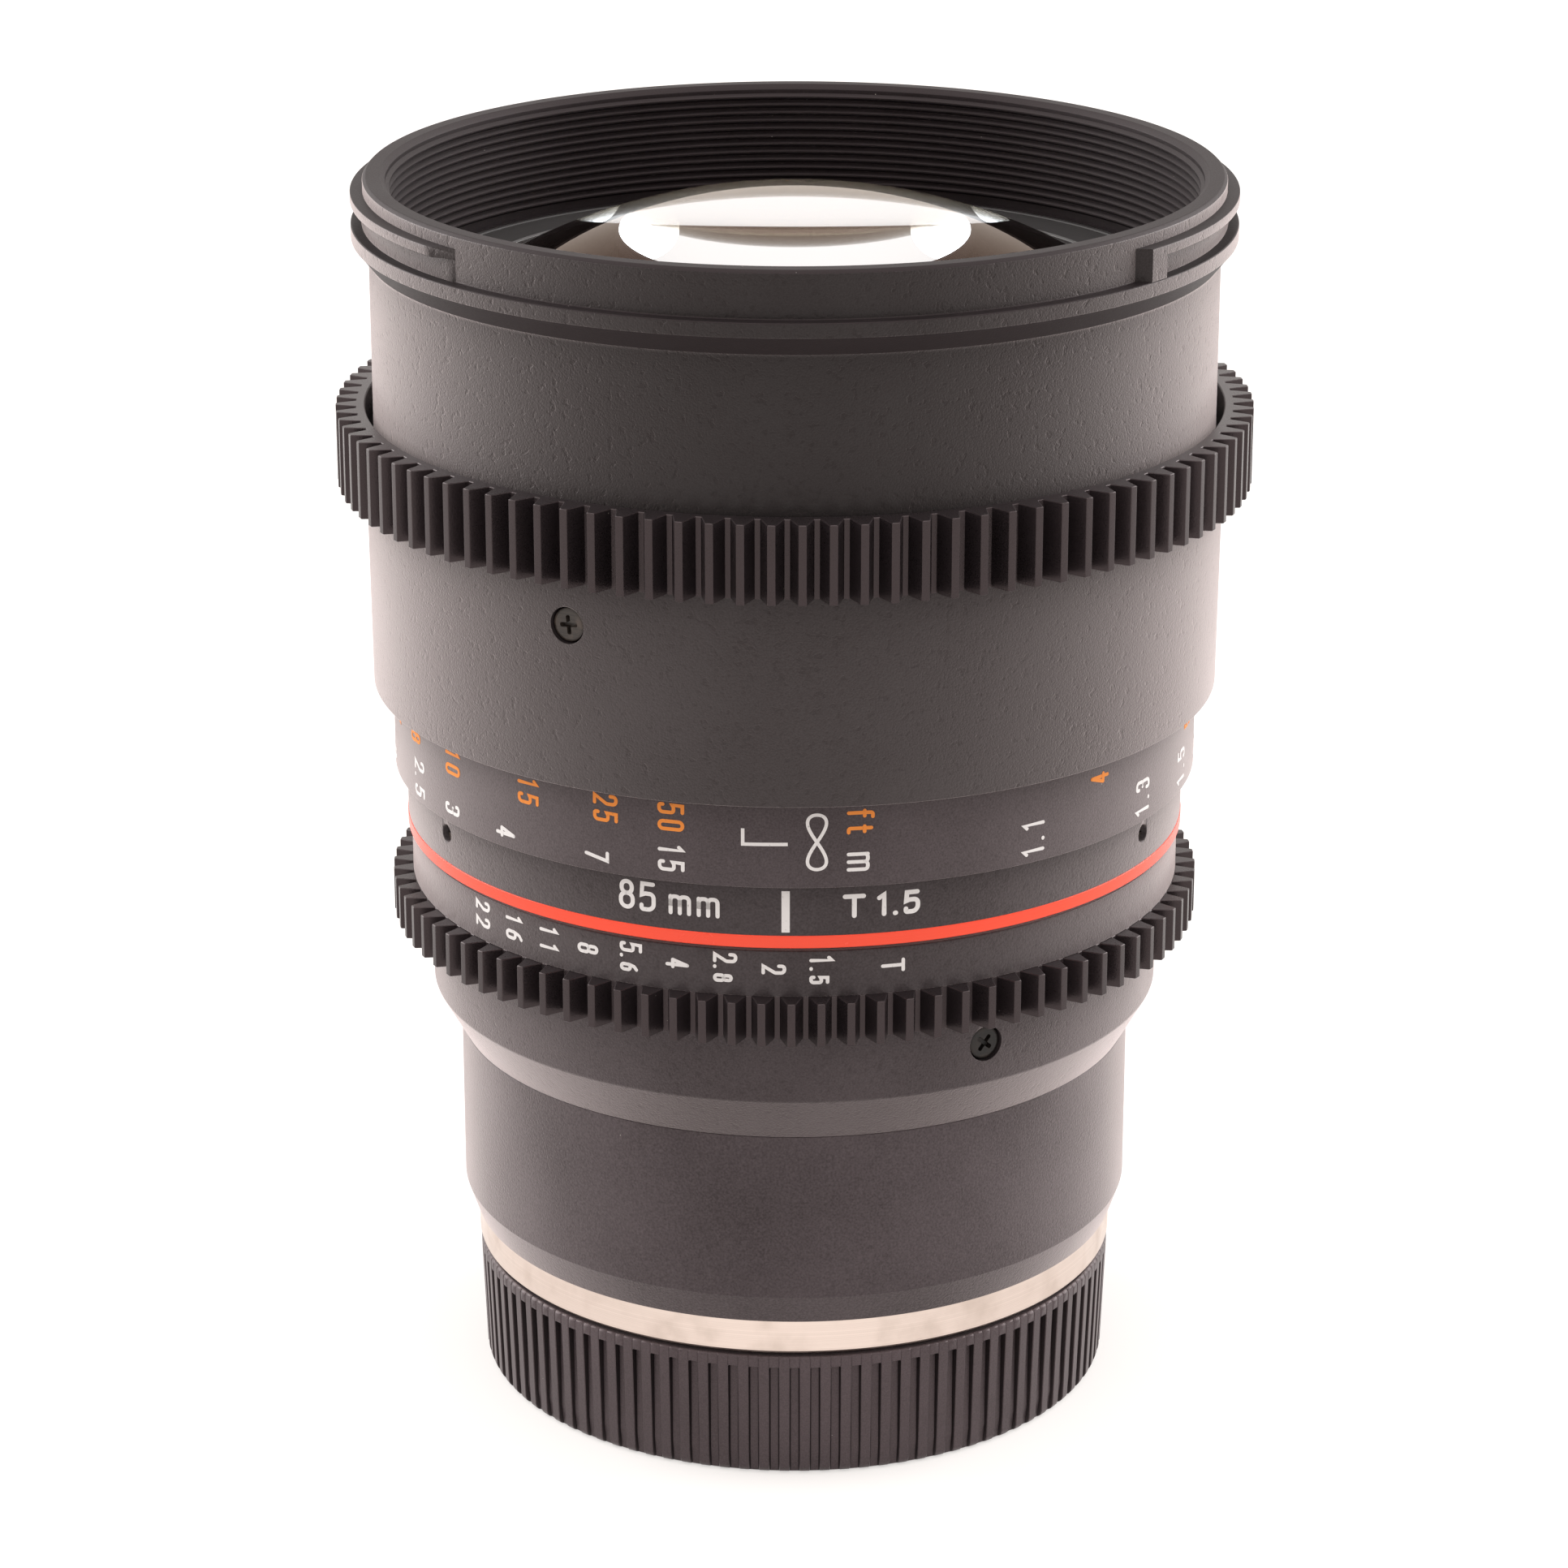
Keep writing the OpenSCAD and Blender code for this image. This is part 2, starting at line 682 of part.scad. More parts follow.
// Opening in a fixed wall that the iris lever swings through
module lever_window(r0, r1) {
    mid = lever_phi + iris_throw / 2 - iris_below;
    intersection() {
        ring(r1, r0, z_cam_ring - blade_gap, z_cover);
        slab(sector(mid - window_arc / 2, mid + window_arc / 2, 2 * r1), z_cam_ring - cut, z_cover + cut);
    }
}

module barrel_screws() {
    color(steel) for (phi = quarter_angles()) at(phi) translate([flange_screw_at, 0, z_flange + lap]) {
        cylinder(r = flange_head_r, h = flange_head_h);
        cylinder(r = flange_screw_r, h = flange_screw_l);
    }
}

module index_ring() {
    color(barrel_black) difference() {
        revolve([[waist_r + fit, z_index], [index_r, z_index], [index_r, z_index_top - edge],
            [index_r - edge, z_index_top], [waist_r + fit, z_index_top]]);
        for (phi = set_screw_angles()) spoke(phi, z_set, waist_r, index_r + cut, set_r + fit);
    }
}

module index_set_screws() {
    color(steel) for (phi = set_screw_angles()) difference() {
        spoke(phi, z_set, waist_r + fit, index_r - set_sink, set_r);
        at(phi) translate([index_r - set_sink, 0, z_set])
            cube([2 * set_slot_d, 2 * set_r + cut, set_slot_w], center = true);
    }
}

module red_trim_ring() {
    color(red) ring(index_r + red_proud, waist_r + fit, z_red, z_index);
}

module rear_barrel() {
    color(barrel_black) difference() {
        revolve([[rear_floor_r, z_rear], [ext_r, z_rear], [rear_r, z_rear_straight],
            [rear_r, z_rear_top - edge],
            [rear_r - edge, z_rear_top], [skirt_r + fit, z_rear_top], [skirt_r + fit, z_floor_top],
            [rear_floor_r, z_floor_top]]);
        for (phi = rear_screw_angles()) barrel_screw_hole(phi, z_rear_screw, rear_r, skirt_r - cut);
    }
}

module rear_barrel_screws() {
    color(steel) for (phi = rear_screw_angles()) barrel_screw(phi, z_rear_screw, rear_r,
        iris_bore_r + free_gap);
}

module extension_barrel() {
    color(barrel_black) difference() {
        union() {
            revolve([[ext_r - ext_wall, z_ext], [mount_r + edge, z_ext], [ext_r, z_ext + ext_chamfer_h],
                [ext_r, z_rear], [rear_floor_r + wide_gap, z_rear], [rear_floor_r + wide_gap,
                    z_rear - ext_floor_t],
                [ext_r - ext_wall, z_rear - ext_floor_t]]);
            for (phi = quarter_angles()) at(phi)
                translate([mount_screw_r, 0, z_ext]) {
                    cylinder(r = boss_r, h = boss_h);
                    translate([0, -boss_web, 0]) cube([boss_r + cut, 2 * boss_web, boss_h]);
                }
        }
        for (phi = quarter_angles()) at(phi)
            translate([mount_screw_r, 0, z_ext - cut]) cylinder(r = shank_r + fit,
                h = boss_h - wide_gap + cut);
    }
}

module bayonet_sectors(arc, r) {
    for (i = [0:lugs - 1]) let (mid = i * 360 / lugs)
        slab(sector(mid - arc / 2, mid + arc / 2, 2 * r), z_throat - cut, z_ext);
}

module mount_ring() {
    color(nickel) difference() {
        union() {
            revolve([[throat_r, z_throat], [throat_out, z_throat], [throat_out, z_mount],
                [mount_r - edge, z_mount],
                [mount_r, z_mount + edge], [mount_r, z_ext], [throat_r, z_ext]]);
            intersection() {
                ring(lug_r, throat_r + throat_wall / 2, z_bayonet, z_bayonet + lug_h);
                bayonet_sectors(lug_arc, lug_r);
            }
        }
        for (phi = quarter_angles()) at(phi) translate([mount_screw_r, 0, z_mount - cut]) {
            cylinder(r = shank_r + fit, h = mount_h + 2 * cut);
            cylinder(r = head_r, h = head_h + head_sink + cut);
        }
        at(lock_hole_phi) translate([mount_screw_r - lock_hole_in, 0, z_mount - cut])
            cylinder(r = lock_hole_r, h = lock_hole_h + cut);
    }
}

module mount_screws() {
    color(steel) for (phi = quarter_angles()) at(phi)
        translate([mount_screw_r, 0, z_mount + head_sink]) difference() {
            union() {
                cylinder(r = head_r - pin_play, h = head_h);
                cylinder(r = shank_r, h = mount_h + boss_h - mount_screw_short);
            }
            for (turn = [0, 90]) rotate([0, 0, turn]) cube([cross_l, cross_w, head_h], center = true);
        }
}

// Light baffle with the oblong gate of the picture
module rear_baffle() {
    color(inner_black) difference() {
        translate([0, 0, z_ext]) cylinder(r = mount_screw_r - boss_r - free_gap, h = baffle_t);
        translate([-gate_w / 2, -gate_h / 2, z_ext - cut]) cube([gate_w, gate_h, baffle_t + 2 * cut]);
    }
}

module iris_base() {
    color(inner_black) difference() {
        union() {
            ring(rim_out_r, iris_open_r - free_gap, z_iris_base, z_iris_base + iris_base_t);
            ring(rim_out_r, rim_in_r, z_iris_base, z_cover);
        }
        for (i = [0:blades - 1]) rotate([0, 0, i * 360 / blades]) translate([pivot_r, 0,
            z_iris_base - cut])
            cylinder(r = pin_r + fit, h = iris_base_t + 2 * cut);
        lever_window(rim_in_r - cut, rim_out_r + cut);
    }
}

module iris_cover() {
    color(inner_black) ring(rim_out_r, cam_ring_in - cover_lap, z_cover, z_cover + cover_t);
}

module rear_cell() {
    color(inner_black) revolve([[L9_r - seat_w, z_rear_cell_foot], [rear_cell_r, z_rear_cell_foot],
        [rear_cell_r, z_rear_cell - rear_flange_t], [rim_out_r, z_rear_cell - rear_flange_t],
        [rim_out_r, z_rear_cell], [L7_r + fit, z_rear_cell], [L7_r + fit, z_L8_seat], [L9_r + fit,
            z_L8_seat],
        [L9_r + fit, z_L9_seat], [L9_r - seat_w, z_L9_seat]]);
}

module rear_lock_ring() {
    color(inner_black) ring(rim_out_r, rear_cell_r + wide_gap, z_rear_cell - rear_flange_t - rear_lock_t,
        z_rear_cell - rear_flange_t);
}

module lens_7() {
    color(glass_tint) element(z_L7, L7_t, -L7_R, -L8_R, L7_r);
}

module lens_8() {
    color(glass_tint) element(z_L8, L8_t, L8_R, L8_rear_R, L7_r);
}

module lens_9() {
    color(glass_tint) element(z_L9, L9_t, L9_R, L9_rear_R, L9_r);
}

module rear_retaining_ring() {
    z_ring = z_L9 - sag(L9_R, L9_r - spacer_w) + fit;
    color(inner_black) ring(L9_r, L9_r - spacer_w, z_ring, z_L8_rear + sag(L8_rear_R,
        L9_r - spacer_w) - fit);
}

module focus_gear() {
    color(gear_black) difference() {
        slab(gear_outline(focus_teeth, focus_tooth_phi), z_gear, z_gear_top);
        translate([0, 0, z_gear - cut]) cylinder(r = neck_r + fit, h = focus_gear_h + 2 * cut);
        translate([0, 0, z_gear + gear_seat_h]) cylinder(r = barrel_r + gear_gap, h = focus_gear_h);
    }
}

module focus_sleeve() {
    color(barrel_black) difference() {
        revolve([[sleeve_in, z_sleeve], [sleeve_r - edge, z_sleeve], [sleeve_r, z_sleeve + edge],
            [sleeve_r, z_gear], [neck_r, z_gear], [neck_r, z_gear + gear_seat_h], [sleeve_in,
                z_gear + gear_seat_h]]);
        for (phi = focus_screw_angles()) barrel_screw_hole(phi, z_focus_screw, sleeve_r, sleeve_in - cut);
    }
}

module distance_scale_ring() {
    color(barrel_black) revolve([[scale_in, z_scale], [scale_r - edge, z_scale],
        [scale_r, z_scale + edge],
        [scale_r, z_scale_top], [scale_in, z_scale_top]]);
}

module focus_ring_screws() {
    color(steel) for (phi = focus_screw_angles()) barrel_screw(phi, z_focus_screw, sleeve_r,
        cam_in + free_gap + fit);
}

// Cutter that follows a roller as the cam tube turns round it
module cam_slot() {
    steps = 30;
    over = asin((roller_r + cam_play) / cam_in);
    half_h = roller_r + cam_play;
    r0 = cam_in - wide_gap;
    r1 = cam_r + wide_gap;
    from = -focus_below - over;
    to = focus_throw - focus_below + over;
    points = [for (i = [0:steps])
        let (turn = from + (to - from) * i / steps,
             z = z_roller + turn * focus_rate)
        for (p = [[r0, -half_h], [r1, -half_h], [r1, half_h], [r0, half_h]])
            [p[0] * cos(-turn), p[0] * sin(-turn), z + p[1]]];
    sides = [for (i = [0:steps - 1]) for (j = [0:3])
        let (a = 4 * i + j, b = 4 * i + (j + 1) % 4)
        for (f = [[a, b + 4, b], [a, a + 4, b + 4]]) f];
    last = 4 * steps;
    ends = [[0, 1, 2], [0, 2, 3], [last + 2, last + 1, last], [last + 3, last + 2, last]];
    polyhedron(points, concat(sides, ends));
}

module focus_cam_tube() {
    color(brass) difference() {
        union() {
            ring(cam_r, cam_in, z_cam_foot, z_cam_top);
            ring(sleeve_in - fit, cam_in, z_collar, z_cam_top);
        }
        for (phi = roller_angles()) at(phi) cam_slot();
        for (phi = focus_screw_angles()) spoke(phi, z_focus_screw, cam_in + free_gap, sleeve_in + cut,
            shank_r + fit);
    }
}

module focus_cell() {
    color(inner_black) difference() {
        revolve([[L6_r - seat_w, z_cell - nose_h], [nose_r, z_cell - nose_h], [nose_r, z_cell],
            [focus_cell_r, z_cell], [focus_cell_r, z_cell + cell_h],
            [focus_lip_r + focus_lock_w + fit, z_cell + cell_h], [focus_lip_r + focus_lock_w + fit,
                z_focus_lip],
            [L4_r + fit, z_focus_lip], [L4_r + fit, z_L5_seat], [L6_r + fit, z_L5_seat], [L6_r + fit,
                z_L6_seat],
            [L6_r - seat_w, z_L6_seat]]);
        for (phi = roller_angles()) spoke(phi, z_roller, roller_in - fit, focus_cell_r + cut,
            roller_r + fit);
    }
}

module focus_retaining_ring() {
    color(inner_black) ring(focus_lip_r + focus_lock_w, focus_lip_r, z_focus_lip,
        z_focus_lip + focus_lock_t);
}

module focus_spacer() {
    color(inner_black) ring(L6_r, L6_r - spacer_w, z_L6 - sag(L6_R, L6_r - spacer_w) + fit, z_L5_seat);
}

module lens_4() {
    color(glass_tint) element(z_L4, L4_t, L4_R, L4_rear_R, L4_r);
}

module lens_5() {
    color(glass_tint) difference() {
        translate([0, 0, z_L5_seat]) cylinder(r = L4_r, h = z_L4 - z_L5_seat);
        ball(z_L5_rear + L5_t + L4_rear_R, L4_rear_R);
        ball(z_L5_rear - L5_rear_R, L5_rear_R);
    }
}

module lens_6() {
    color(glass_tint) element(z_L6, L6_t, L6_R, L6_rear_R, L6_r);
}

module cam_rollers() {
    color(brass) for (phi = roller_angles()) spoke(phi, z_roller, roller_in, roller_out, roller_r);
}

module aperture_ring() {
    color(barrel_black) difference() {
        revolve([[waist_r + fit, z_ap], [ap_seat_r, z_ap], [ap_seat_r, z_ap_band], [ap_r, z_ap_band],
            [ap_r, z_ap_top - edge], [ap_r - edge, z_ap_top], [waist_r + fit, z_ap_top]]);
        intersection() {
            ring(lever_out_r + fit, waist_r - cut, z_cam_ring - fit, z_cam_ring + cam_ring_t + fit);
            slab(sector(lever_phi - lever_arc / 2 - lever_play, lever_phi + lever_arc / 2 + lever_play,
                2 * ap_r),
                z_cam_ring - cut, z_cover + cut);
        }
    }
}

module aperture_gear() {
    color(gear_black) difference() {
        slab(gear_outline(ap_teeth, ap_tooth_phi), z_ap, z_ap_band);
        translate([0, 0, z_ap - cut]) cylinder(r = ap_seat_r + fit, h = ap_gear_h + 2 * cut);
    }
}

module iris_drive_lever() {
    color(brass) intersection() {
        ring(lever_out_r, cam_ring_r, z_cam_ring, z_cam_ring + cam_ring_t);
        slab(sector(lever_phi - lever_arc / 2, lever_phi + lever_arc / 2, 2 * ap_r), z_cam_ring - cut,
            z_cover + cut);
    }
}

// Place of a blade's drive pin when the ring has turned by an angle from the photographed setting
function drive_pin(turn) =
    let (swing = blade_rest + turn * blade_rate)
    [pivot_r + drive_arm * sin(swing), -drive_arm * cos(swing)];

// The same place seen from the turning ring
function in_ring(turn) =
    let (p = drive_pin(turn))
    [p[0] * cos(turn) + p[1] * sin(turn), p[1] * cos(turn) - p[0] * sin(turn)];

// Cam slot: a band of even width along the drive pin's path in the ring
function cam_band() =
    let (steps = 16,
         over = 2,
         ahead = 0.1,
         half_w = pin_r + pin_play,
         from = -iris_below - over,
         to = iris_throw - iris_below + over,
         turns = [for (i = [0:steps]) from + (to - from) * i / steps],
         side = function (turn, s)
            let (p = in_ring(turn), q = in_ring(turn + ahead), d = (q - p) / norm(q - p))
            p + s * half_w * [-d[1], d[0]])
    concat([for (t = turns) side(t, 1)], [for (i = [steps:-1:0]) side(turns[i], -1)]);

module iris_cam_ring() {
    color(brass) difference() {
        ring(cam_ring_r, cam_ring_in, z_cam_ring, z_cam_ring + cam_ring_t);
        for (i = [0:blades - 1]) rotate([0, 0, i * 360 / blades])
            slab(cam_band(), z_cam_ring - cut, z_cam_ring + cam_ring_t + cut);
    }
}

// One blade: a curved leaf, an ear at its pivot and a tail with the drive pin, on its own level
module iris_blade(i) {
    z = z_blades + i * blade_pitch;
    ear_r = pin_r + ear_w;
    tail_w = 1.6 * ear_r;
    leaf_back = 4;
    color(steel) rotate([0, 0, i * 360 / blades]) translate([pivot_r, 0, 0]) {
        rotate([0, 0, blade_rest]) translate([-pivot_r, 0, 0]) {
            intersection() {
                ring(leaf_r, iris_open_r, z, z + blade_t);
                slab(sector(90 - leaf_back, 90 + leaf_arc, 2 * leaf_r), z - cut, z + cut);
            }
            translate([leaf_r - cut, -tail_w / 2, z]) cube([pivot_r - leaf_r + cut, tail_w, blade_t]);
            translate([pivot_r, 0, z]) cylinder(r = ear_r, h = blade_t);
            translate([pivot_r - tail_w / 2, -drive_arm, z]) cube([tail_w, drive_arm, blade_t]);
            translate([pivot_r, -drive_arm, z]) cylinder(r = ear_r, h = blade_t);
            translate([pivot_r, -drive_arm, z]) cylinder(r = pin_r, h = z_cam_ring + cam_ring_t - z);
            translate([pivot_r, 0, z_iris_base + fit]) cylinder(r = pin_r,
                h = z + blade_t - z_iris_base - fit);
        }
    }
}

// Cap: ribbed wall, floor, and three tabs that hook over the bayonet lugs
module rear_cap() {
    pitch = 360 / ribs;
    groove_half = pitch * groove_share / 2;
    mouth_flare = 1.35;
    mouth_half = mouth_flare * groove_half;
    groove_r = cap_r - rib_depth;
    base_r = cap_r - cap_draft;
    rib_top = cap_h - cap_band_h;
    rib_outline = [for (i = [0:ribs - 1])
        for (p = [[groove_r, -groove_half], [groove_r, groove_half], [cap_r + cut, mouth_half],
            [cap_r + cut, pitch - mouth_half]]) p[0] * dir(i * pitch + p[1])];
    color(gear_black) difference() {
        union() {
            intersection() {
                revolve([[0, 0], [base_r - 2 * edge, 0], [base_r, 2 * edge], [cap_r, rib_top + lap],
                    [0, rib_top + lap]]);
                slab(rib_outline, -cut, cap_h);
            }
            translate([0, 0, rib_top]) cylinder(r = cap_r, h = cap_band_h - edge);
            translate([0, 0, rib_top]) cylinder(r = cap_r - edge, h = cap_band_h);
        }
        translate([0, 0, cap_floor]) cylinder(r = cap_in, h = cap_h);
    }
    color(gear_black) intersection() {
        ring(cap_in + wide_gap, tab_in, z_tab, z_tab + tab_t);
        bayonet_sectors(tab_arc, cap_in);
    }
}

front_barrel();
front_retaining_ring();
front_cell();
lens_1();
lens_2();
lens_3();
front_spacer();
main_barrel();
barrel_screws();
index_ring();
index_set_screws();
red_trim_ring();
rear_barrel();
rear_barrel_screws();
extension_barrel();
mount_ring();
mount_screws();
rear_baffle();
iris_base();
iris_cover();
rear_cell();
rear_lock_ring();
lens_7();
lens_8();
lens_9();
rear_retaining_ring();
focus_gear();
focus_sleeve();
distance_scale_ring();
focus_ring_screws();
focus_cam_tube();
focus_cell();
focus_retaining_ring();
focus_spacer();
lens_4();
lens_5();
lens_6();
cam_rollers();
aperture_ring();
aperture_gear();
iris_drive_lever();
iris_cam_ring();
iris_blade(0);  // iris_blade_1
iris_blade(1);  // iris_blade_2
iris_blade(2);  // iris_blade_3
iris_blade(3);  // iris_blade_4
iris_blade(4);  // iris_blade_5
iris_blade(5);  // iris_blade_6
iris_blade(6);  // iris_blade_7
iris_blade(7);  // iris_blade_8
rear_cap();
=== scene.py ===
import bmesh
import bpy
import math
from mathutils import Matrix, Vector


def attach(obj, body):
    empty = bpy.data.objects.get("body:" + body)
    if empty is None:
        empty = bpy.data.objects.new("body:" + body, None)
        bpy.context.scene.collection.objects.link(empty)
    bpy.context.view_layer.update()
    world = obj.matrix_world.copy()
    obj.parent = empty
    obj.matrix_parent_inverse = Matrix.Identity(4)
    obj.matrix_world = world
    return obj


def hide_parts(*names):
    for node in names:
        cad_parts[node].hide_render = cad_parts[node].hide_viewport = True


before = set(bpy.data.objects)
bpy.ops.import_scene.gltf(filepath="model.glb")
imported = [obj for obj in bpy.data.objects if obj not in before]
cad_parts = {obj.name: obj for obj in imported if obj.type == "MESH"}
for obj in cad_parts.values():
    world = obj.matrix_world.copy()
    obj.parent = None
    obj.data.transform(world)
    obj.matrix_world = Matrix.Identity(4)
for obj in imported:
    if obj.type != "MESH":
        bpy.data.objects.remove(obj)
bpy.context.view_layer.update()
scene = bpy.context.scene
scene.view_settings.view_transform = "Standard"
mm = 0.001  # lengths below are in mm, Blender's are in metres
sharpAngle = 35  # degrees between faces from which an edge stays crisp
print("frame loaded,", len(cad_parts), "nodes")


# mesh helpers

def onCircle(r, phi, z):
    a = math.radians(phi)  # phi runs from -Y, the front, towards +X
    return Vector((r * math.sin(a), -r * math.cos(a), z)) * mm


def roundCorners(points, steps=4, closed=True):
    # points are (x, y) or (x, y, corner radius)
    out = []
    count = len(points)
    for i, point in enumerate(points):
        here = Vector(point[:2])
        size = point[2] if len(point) > 2 else 0
        if not size or (not closed and i in (0, count - 1)):
            out.append(here)
            continue
        back = Vector(points[i - 1][:2]) - here
        ahead = Vector(points[(i + 1) % count][:2]) - here
        half = back.angle(ahead) / 2
        reach = min(size / math.tan(half), 0.49 * back.length, 0.49 * ahead.length)
        radius = reach * math.tan(half)
        centre = here + (back.normalized() + ahead.normalized()).normalized() * radius / math.sin(half)
        first = here + back.normalized() * reach - centre
        last = here + ahead.normalized() * reach - centre
        start = math.atan2(first.y, first.x)
        turn = math.atan2(first.x * last.y - first.y * last.x, first.dot(last))
        for k in range(steps + 1):
            a = start + turn * k / steps
            out.append(centre + Vector((math.cos(a), math.sin(a))) * radius)
    return out


def makePiece(name, verts, faces, sharp=sharpAngle):
    mesh = bpy.data.meshes.new(name)
    mesh.from_pydata(verts, [], faces)
    work = bmesh.new()
    work.from_mesh(mesh)
    bmesh.ops.remove_doubles(work, verts=work.verts, dist=1e-8)
    bmesh.ops.recalc_face_normals(work, faces=work.faces)
    work.to_mesh(mesh)
    work.free()
    mesh.shade_smooth()
    mesh.set_sharp_from_angle(angle=math.radians(sharp))
    piece = bpy.data.objects.new(name, mesh)
    scene.collection.objects.link(piece)
    return piece


def applyModifiers(piece):
    old = piece.data
    depsgraph = bpy.context.evaluated_depsgraph_get()
    piece.data = bpy.data.meshes.new_from_object(piece.evaluated_get(depsgraph))
    piece.modifiers.clear()
    bpy.data.meshes.remove(old)


def settleNormals(piece):
    # broad faces keep their own normals, so that fillets don't shade them
    modifier = piece.modifiers.new("faceNormals", "WEIGHTED_NORMAL")
    modifier.keep_sharp = True
    applyModifiers(piece)


def ringStack(rings, closed=True):
    # each ring is the same number of points round the axis
    count = len(rings[0])
    verts = [point for ring in rings for point in ring]
    faces = []
    last = len(rings) if closed else len(rings) - 1
    for i in range(last):
        j = (i + 1) % len(rings)
        for k in range(count):
            m = (k + 1) % count
            faces.append((i * count + k, i * count + m, j * count + m, j * count + k))
    return verts, faces


def lathe(name, profile, segments=320, closed=True, steps=4):
    turns = [360 * s / segments for s in range(segments)]
    rings = [[onCircle(p.x, phi, p.y) for phi in turns] for p in roundCorners(profile, steps, closed)]
    piece = makePiece(name, *ringStack(rings, closed))
    settleNormals(piece)
    return piece


def sectorBlock(profile, startAt, endAt, steps=60):
    # a profile swept round the axis; its ends may slant with the radius
    loop = roundCorners(profile, 3)
    count = len(loop)
    verts, faces = [], []
    for s in range(steps + 1):
        for p in loop:
            low, high = startAt(p.x), endAt(p.x)
            verts.append(onCircle(p.x, low + (high - low) * s / steps, p.y))
    for s in range(steps):
        for i in range(count):
            j = (i + 1) % count
            faces.append((s * count + i, s * count + j, (s + 1) * count + j, (s + 1) * count + i))
    faces.append(tuple(range(count)))
    faces.append(tuple(steps * count + i for i in reversed(range(count))))
    return verts, faces


def turned(part, angle):
    turn = Matrix.Rotation(math.radians(angle), 3, "Z")
    return [turn @ v for v in part[0]], part[1]


def bundle(parts):
    verts, faces = [], []
    for partVerts, partFaces in parts:
        base = len(verts)
        verts.extend(partVerts)
        faces.extend(tuple(base + i for i in face) for face in partFaces)
    return verts, faces


def joinInto(piece, extra):
    work = bmesh.new()
    work.from_mesh(piece.data)
    work.from_mesh(extra.data)
    work.to_mesh(piece.data)
    work.free()
    bpy.data.objects.remove(extra)


def radialTurn(phi, z):
    # local Z points out along the radius, local Y up
    out = onCircle(1, phi, 0).normalized()
    up = Vector((0, 0, 1))
    spin = Matrix((up.cross(out), up, out)).transposed()
    return Matrix.Translation((0, 0, z * mm)) @ spin.to_4x4()


def spun(profile, place, sides=40):
    # (radius, height) points turned about the local Z of place
    angles = [2 * math.pi * k / sides for k in range(sides)]

    def spot(r, a, h):
        return place @ (Vector((r * math.cos(a), r * math.sin(a), h)) * mm)

    return ringStack([[spot(r, a, h) for a in angles] for r, h in profile], False)


def cutAway(piece, cutter):
    modifier = piece.modifiers.new("cut", "BOOLEAN")
    modifier.operation = "DIFFERENCE"
    modifier.solver = "EXACT"
    modifier.object = cutter
    applyModifiers(piece)
    bpy.data.objects.remove(cutter)
    piece.data.set_sharp_from_angle(angle=math.radians(sharpAngle))


def drillHoles(piece, angles, z, radius, fromR, surfaceR, flare=0.06):
    # straight holes along the radius, with the edge broken at the surface
    profile = [(0, fromR), (radius, fromR), (radius, surfaceR - flare),
               (radius + 2 * flare, surfaceR + flare), (0, surfaceR + flare)]
    cutAway(piece, makePiece("drill", *bundle([spun(profile, radialTurn(phi, z)) for phi in angles])))
    settleNormals(piece)


def paintShadeInHoles(piece, material, angles, z, radius, surfaceR):
    # painted shade: the walls and floors of drilled holes take a second, darker material for the shade inside
    # them
    piece.data.materials.append(material)
    places = [radialTurn(phi, z).inverted() for phi in angles]
    for face in piece.data.polygons:
        for place in places:
            spot = place @ face.center
            below = 0 < spot.z < (surfaceR - 0.1) * mm
            if below and math.hypot(spot.x, spot.y) < (radius + 0.02) * mm:
                face.material_index = 1


def finishPiece(piece, material, body, slot, *nodes):
    piece.data.materials.clear()
    piece.data.materials.append(material)
    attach(piece, body)
    if nodes:
        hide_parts(*nodes)
    return piece


# shader helpers

def addNode(tree, kind, **settings):
    node = tree.nodes.new(kind)
    for key, value in settings.items():
        setattr(node, key, value)
    return node


def join(tree, source, target):
    tree.links.new(source, target)


def newGroup(name, inputs, outputs):
    group = bpy.data.node_groups.new(name, "ShaderNodeTree")
    for label, value in inputs.items():
        socket = group.interface.new_socket(name=label, in_out="INPUT", socket_type="NodeSocketFloat")
        socket.default_value = value
    for label in outputs:
        group.interface.new_socket(name=label, in_out="OUTPUT", socket_type="NodeSocketFloat")
    return group, group.nodes.new("NodeGroupInput"), group.nodes.new("NodeGroupOutput")


def doMath(tree, operation, first, second=None):
    node = addNode(tree, "ShaderNodeMath", operation=operation)
    for socket, value in zip(node.inputs, (first, second)):
        if value is None:
            continue
        if isinstance(value, (int, float)):
            socket.default_value = value
        else:
            join(tree, value, socket)
    return node.outputs[0]


def remap(tree, value, low, high, toLow=0.0, toHigh=1.0, smooth=False):
    node = addNode(tree, "ShaderNodeMapRange", interpolation_type="SMOOTHSTEP" if smooth else "LINEAR")
    join(tree, value, node.inputs["Value"])
    for label, number in zip(("From Min", "From Max", "To Min", "To Max"), (low, high, toLow, toHigh)):
        node.inputs[label].default_value = number
    return node.outputs["Result"]


def mixColour(tree, factor, first, second):
    node = addNode(tree, "ShaderNodeMix", data_type="RGBA")
    join(tree, factor, node.inputs[0])
    for socket, value in ((node.inputs[6], first), (node.inputs[7], second)):
        if isinstance(value, tuple):
            socket.default_value = (*value, 1)
        else:
            join(tree, value, socket)
    return node.outputs[2]


def inMillimetres(tree):
    where = addNode(tree, "ShaderNodeTexCoord").outputs["Object"]
    scale = addNode(tree, "ShaderNodeVectorMath", operation="SCALE")
    join(tree, where, scale.inputs[0])
    scale.inputs["Scale"].default_value = 1 / mm
    return scale.outputs[0]


